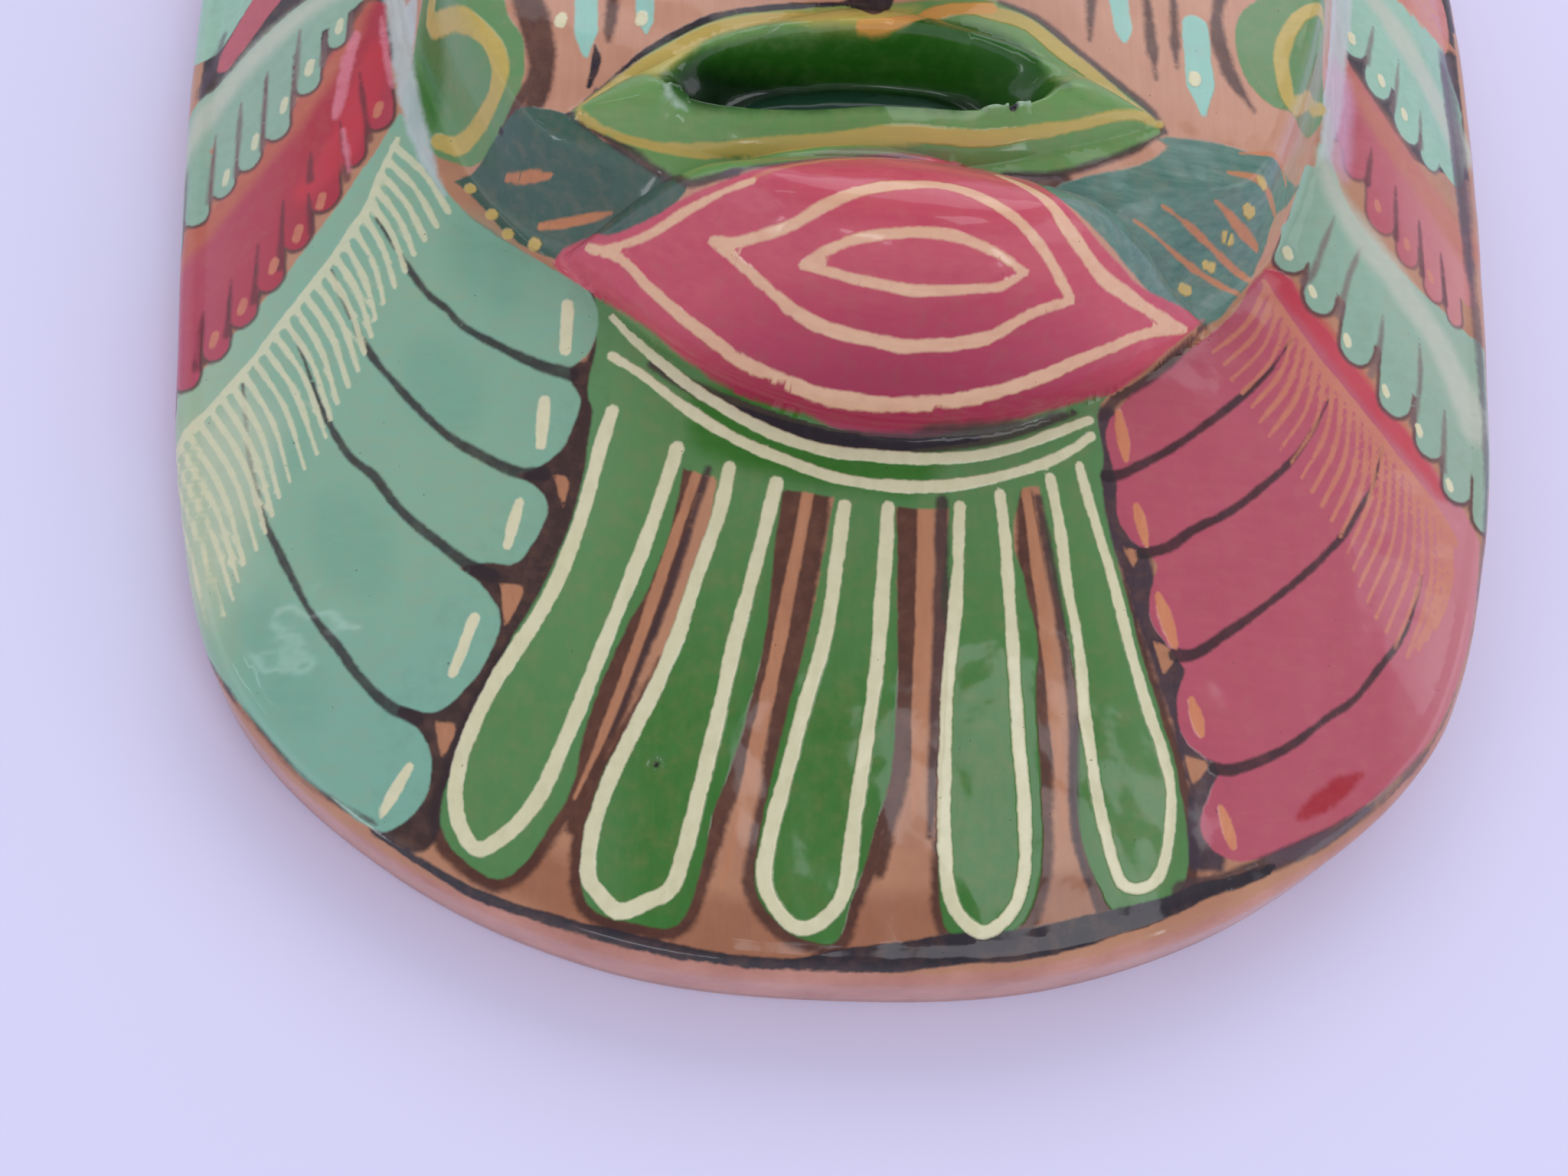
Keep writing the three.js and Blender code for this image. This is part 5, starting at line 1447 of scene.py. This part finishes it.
def paint_material():
    n = Nodes("painted_glaze")
    place = n.place_in_mm()
    axes = n.add("ShaderNodeSeparateXYZ", {0: place}).outputs
    mirrored = n.add("ShaderNodeCombineXYZ",
                     {0: n.maths("ABSOLUTE", axes[0]), 1: axes[1], 2: axes[2]}).outputs[0]
    wobble = n.maths("ADD", n.ramp(n.noise(place, *FINE), 0, 1, -FINE_WAVER, FINE_WAVER),
                     n.ramp(n.noise(place, *WIDE), 0, 1, -WIDE_WAVER, WIDE_WAVER))
    soft_wobble = n.maths("MULTIPLY", wobble, SOFTER)
    mottle = n.ramp(n.noise(place, *MOTTLE), 0.32, 0.68)
    waver = {}
    for way, streaks in STREAKS.items():
        streak = n.ramp(n.noise(mirrored if way == SLANT else place, *streaks), 0.3, 0.7)
        waver[way] = n.maths("ADD", n.maths("MULTIPLY", streak, STREAK_SHARE),
                             n.maths("MULTIPLY", mottle, MOTTLE_SHARE))
    worn = n.ramp(n.noise(place, *THINNING), 0.3, 0.56, 1 - THINNEST, 1.0)
    covers = {cover: n.maths("MULTIPLY", worn, cover) for cover in sorted({paint[4] for paint in PAINTS})}
    colour = n.mix(mottle, srgb(*GROUND[0]), srgb(*GROUND[1]))
    for coat, main, other, edge, cover, way, _ in PAINTS:
        distance = n.maths("ADD", n.coat(coat), wobble if edge < SOFT_EDGE else soft_wobble)
        share = n.ramp(distance, edge, -edge, 0.0, covers[cover], smooth=True)
        paint = n.mix(waver[way], srgb(*main), srgb(*other))
        for name, turn_to, axis, low, high, strength in FADES:
            if name == coat:
                paint = n.mix(n.ramp(axes[axis], low, high, 0.0, strength), paint, srgb(*turn_to))
        colour = n.mix(share, colour, paint)
    pits = n.ramp(n.noise(place, *PIT), PIT_NONE, PIT_FULL)
    colour = n.mix(n.maths("MULTIPLY", pits, PIT_COVER), colour, srgb(*PIT_COLOUR))
    bare = n.maths("ADD", n.coat("bare"), n.maths("MULTIPLY", wobble, BARE_WAVER))
    bare = n.ramp(bare, -BARE_EDGE, BARE_EDGE, smooth=True)
    colour = n.mix(bare, colour, n.mix(mottle, srgb(*BARE_CLAY[0]), srgb(*BARE_CLAY[1])))
    relief = n.maths("MULTIPLY", n.noise(place, *SWELL), SWELL_HEIGHT)
    for name, height in RELIEFS.items():
        distance = n.maths("ADD", n.coat(name), wobble)
        raised = n.ramp(distance, RELIEF_EDGE, -RELIEF_EDGE, 0.0, height, smooth=True)
        relief = n.maths("ADD", relief, raised)
    relief = n.maths("SUBTRACT", relief, n.maths("MULTIPLY", pits, PIT_DEPTH))
    bump = n.bump(relief)
    rough = n.ramp(n.noise(place, *SHEEN), 0.3, 0.7, GLOSSY, DULLER)
    rough = n.maths("ADD", rough, n.maths("MULTIPLY", bare, BARE_ROUGHER))
    return n.finish({"Base Color": colour, "Roughness": rough, "Normal": bump, "Coat Normal": bump,
                     **VARNISH})


def clay_material():
    n = Nodes("bare_clay")
    place = n.place_in_mm()
    mottle = n.ramp(n.noise(place, *CLAY_MOTTLE), 0.3, 0.7)
    grain = n.noise(place, *GRAIN)
    smear = n.noise(place, *SMEAR)
    colour = n.mix(mottle, srgb(*BARE_CLAY[0]), srgb(*BARE_CLAY[1]))
    colour = n.mix(n.ramp(smear, 0.42, 0.7, 0.0, 0.45), colour, srgb(*SMEAR_COLOUR))
    colour = n.mix(n.ramp(grain, 0.6, 0.72, 0.0, 0.5), colour, srgb(*GRIT_COLOUR))
    colour = n.mix(n.ramp(grain, 0.38, 0.28, 0.0, 0.6), colour, srgb(*PORE_COLOUR))
    height = n.maths("ADD", n.maths("MULTIPLY", grain, GRAIN_HEIGHT),
                     n.maths("MULTIPLY", smear, SMEAR_HEIGHT))
    rough = n.ramp(grain, 0.3, 0.7, 0.78, 0.92)
    return n.finish({"Base Color": colour, "Roughness": rough, "Normal": n.bump(height),
                     "Specular IOR Level": 0.3})


def floor_material():
    return Nodes("pale_floor").finish({"Base Color": srgb(*FLOOR_COLOUR), "Roughness": 0.8})


def paint_mask(piece, points, flat, kind):
    """Stores the distance of each coat and relief at every point of the mesh."""
    shown = np.nonzero(kind != BACK)[0]
    x, y = flat[shown, 0], flat[shown, 1]
    tilt = plan_tilt(x, y)
    tilt[kind[shown] == SIDE] = 0
    distances = np.full((len(points), len(GROUPS) * GROUP_SIZE), FAR, np.float32)
    distances[shown, COAT_NAMES.index("bare")] = bare_distance(flat[shown])
    for name, *_, relief in PAINTS:
        own = COAT_NAMES.index(name)
        distances[shown, own] = coat_distance(COATS[name], x, y, tilt)
        if relief:
            raised = COAT_NAMES.index(relief)
            distances[:, raised] = np.minimum(distances[:, raised], distances[:, own])
    for group, coats in zip(GROUPS, np.split(distances, len(GROUPS), axis=1)):
        layer = piece.data.attributes.new(group, "FLOAT_VECTOR", "POINT")
        layer.data.foreach_set("vector", coats.ravel())


def unwrap(mesh, points, flat, kind):
    """The baking map: the unrolled front and side in one piece, and the back beside it."""
    corners = np.empty(len(mesh.loops), int)
    mesh.loops.foreach_get("vertex_index", corners)
    back_face = (kind[corners].reshape(-1, 3) == BACK).any(1)
    back = np.repeat(back_face, 3)
    uv = flat[corners] * FRONT_SCALE + FRONT_PLACE
    uv[back] = points[corners][back, :2] * BACK_SCALE + BACK_PLACE
    layer = mesh.uv_layers.new(name="OFBake")
    layer.data.foreach_set("uv", uv.ravel())
    return back_face


# Soft lights round the mask: name, direction (0 is the chin end, 90 the right), height over the
# horizon, distance in metres, width and height in metres, and strength in watts.
LIGHTS = [
    ("broad_window", 172, 44, 0.8, 0.95, 0.55, 2.5),
    ("right_window", 40, 63, 1.4, 0.5, 0.5, 2.2),
    ("right_fill", 78, 26, 1.2, 0.8, 0.4, 1.1),
    ("left_fill", -78, 26, 1.2, 0.8, 0.4, 0.6),
    ("left_window", -86, 48, 1.4, 0.05, 0.3, 0.2),
    ("front_pane", -14, 30, 1.3, 0.3, 0.08, 0.4),
    ("low_left_pane", -48, 17, 1.3, 0.12, 0.24, 0.5),
    ("low_right_pane", 36, 17, 1.3, 0.12, 0.24, 0.5),
]
LIGHT_COLOUR = (0.93, 0.95, 1.0)


def make_light(name, azimuth, elevation, distance, width, height, power):
    around, up = math.radians(azimuth), math.radians(elevation)
    away = Vector((math.sin(around) * math.cos(up), -math.cos(around) * math.cos(up), math.sin(up)))
    light = bpy.data.objects.new(name, bpy.data.lights.new(name, "AREA"))
    light.data.shape = "RECTANGLE"
    light.data.size, light.data.size_y = width, height
    light.data.energy = power
    light.data.color = LIGHT_COLOUR
    light.location = away * distance
    light.rotation_euler = away.to_track_quat("Z", "Y").to_euler()
    bpy.context.scene.collection.objects.link(light)


# The room round the mask: brighter near the horizon than overhead.
HORIZON, OVERHEAD = 1.08, 0.34
BRIGHT_BELOW, DIM_ABOVE = 26.0, 64.0
ROOM_COLOUR = (0.86, 0.86, 1.0, 1.0)
# Half the side of the floor, in metres.
FLOOR_HALF = 12.0


def make_world():
    world = bpy.data.worlds.new("world")
    world.use_nodes = True
    nodes, links = world.node_tree.nodes, world.node_tree.links
    split = nodes.new("ShaderNodeSeparateXYZ")
    links.new(nodes.new("ShaderNodeTexCoord").outputs["Generated"], split.inputs[0])
    fade = nodes.new("ShaderNodeMapRange")
    links.new(split.outputs[2], fade.inputs[0])
    steps = (math.sin(math.radians(BRIGHT_BELOW)), math.sin(math.radians(DIM_ABOVE)), HORIZON, OVERHEAD)
    for key, value in zip(("From Min", "From Max", "To Min", "To Max"), steps):
        fade.inputs[key].default_value = value
    background = nodes["Background"]
    background.inputs["Color"].default_value = ROOM_COLOUR
    links.new(fade.outputs[0], background.inputs["Strength"])
    bpy.context.scene.world = world


def make_floor():
    mesh = bpy.data.meshes.new("floor")
    corners = [(x * FLOOR_HALF, y * FLOOR_HALF, 0) for x, y in ((-1, -1), (1, -1), (1, 1), (-1, 1))]
    mesh.from_pydata(corners, [], [(0, 1, 2, 3)])
    mesh.materials.append(floor_material())
    floor = bpy.data.objects.new("floor", mesh)
    bpy.context.scene.collection.objects.link(floor)


make_camera()
for paint in (paint_left_fan, paint_left_feathers, paint_right_fan, paint_right_feathers, paint_collar,
              paint_chin, paint_lips, paint_cheeks, paint_plumes, paint_eyes, paint_upper_face):
    paint()
piece, points, flat, kind = build_mask()
paint_mask(piece, points, flat, kind)
back_face = unwrap(piece.data, points, flat, kind)
piece.data.materials.append(paint_material())
piece.data.materials.append(clay_material())
piece.data.polygons.foreach_set("material_index", back_face.astype(int))
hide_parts("mask")
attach(piece, "root")
make_floor()
for light in LIGHTS:
    make_light(*light)
make_world()
bpy.context.scene.view_settings.view_transform = "Standard"
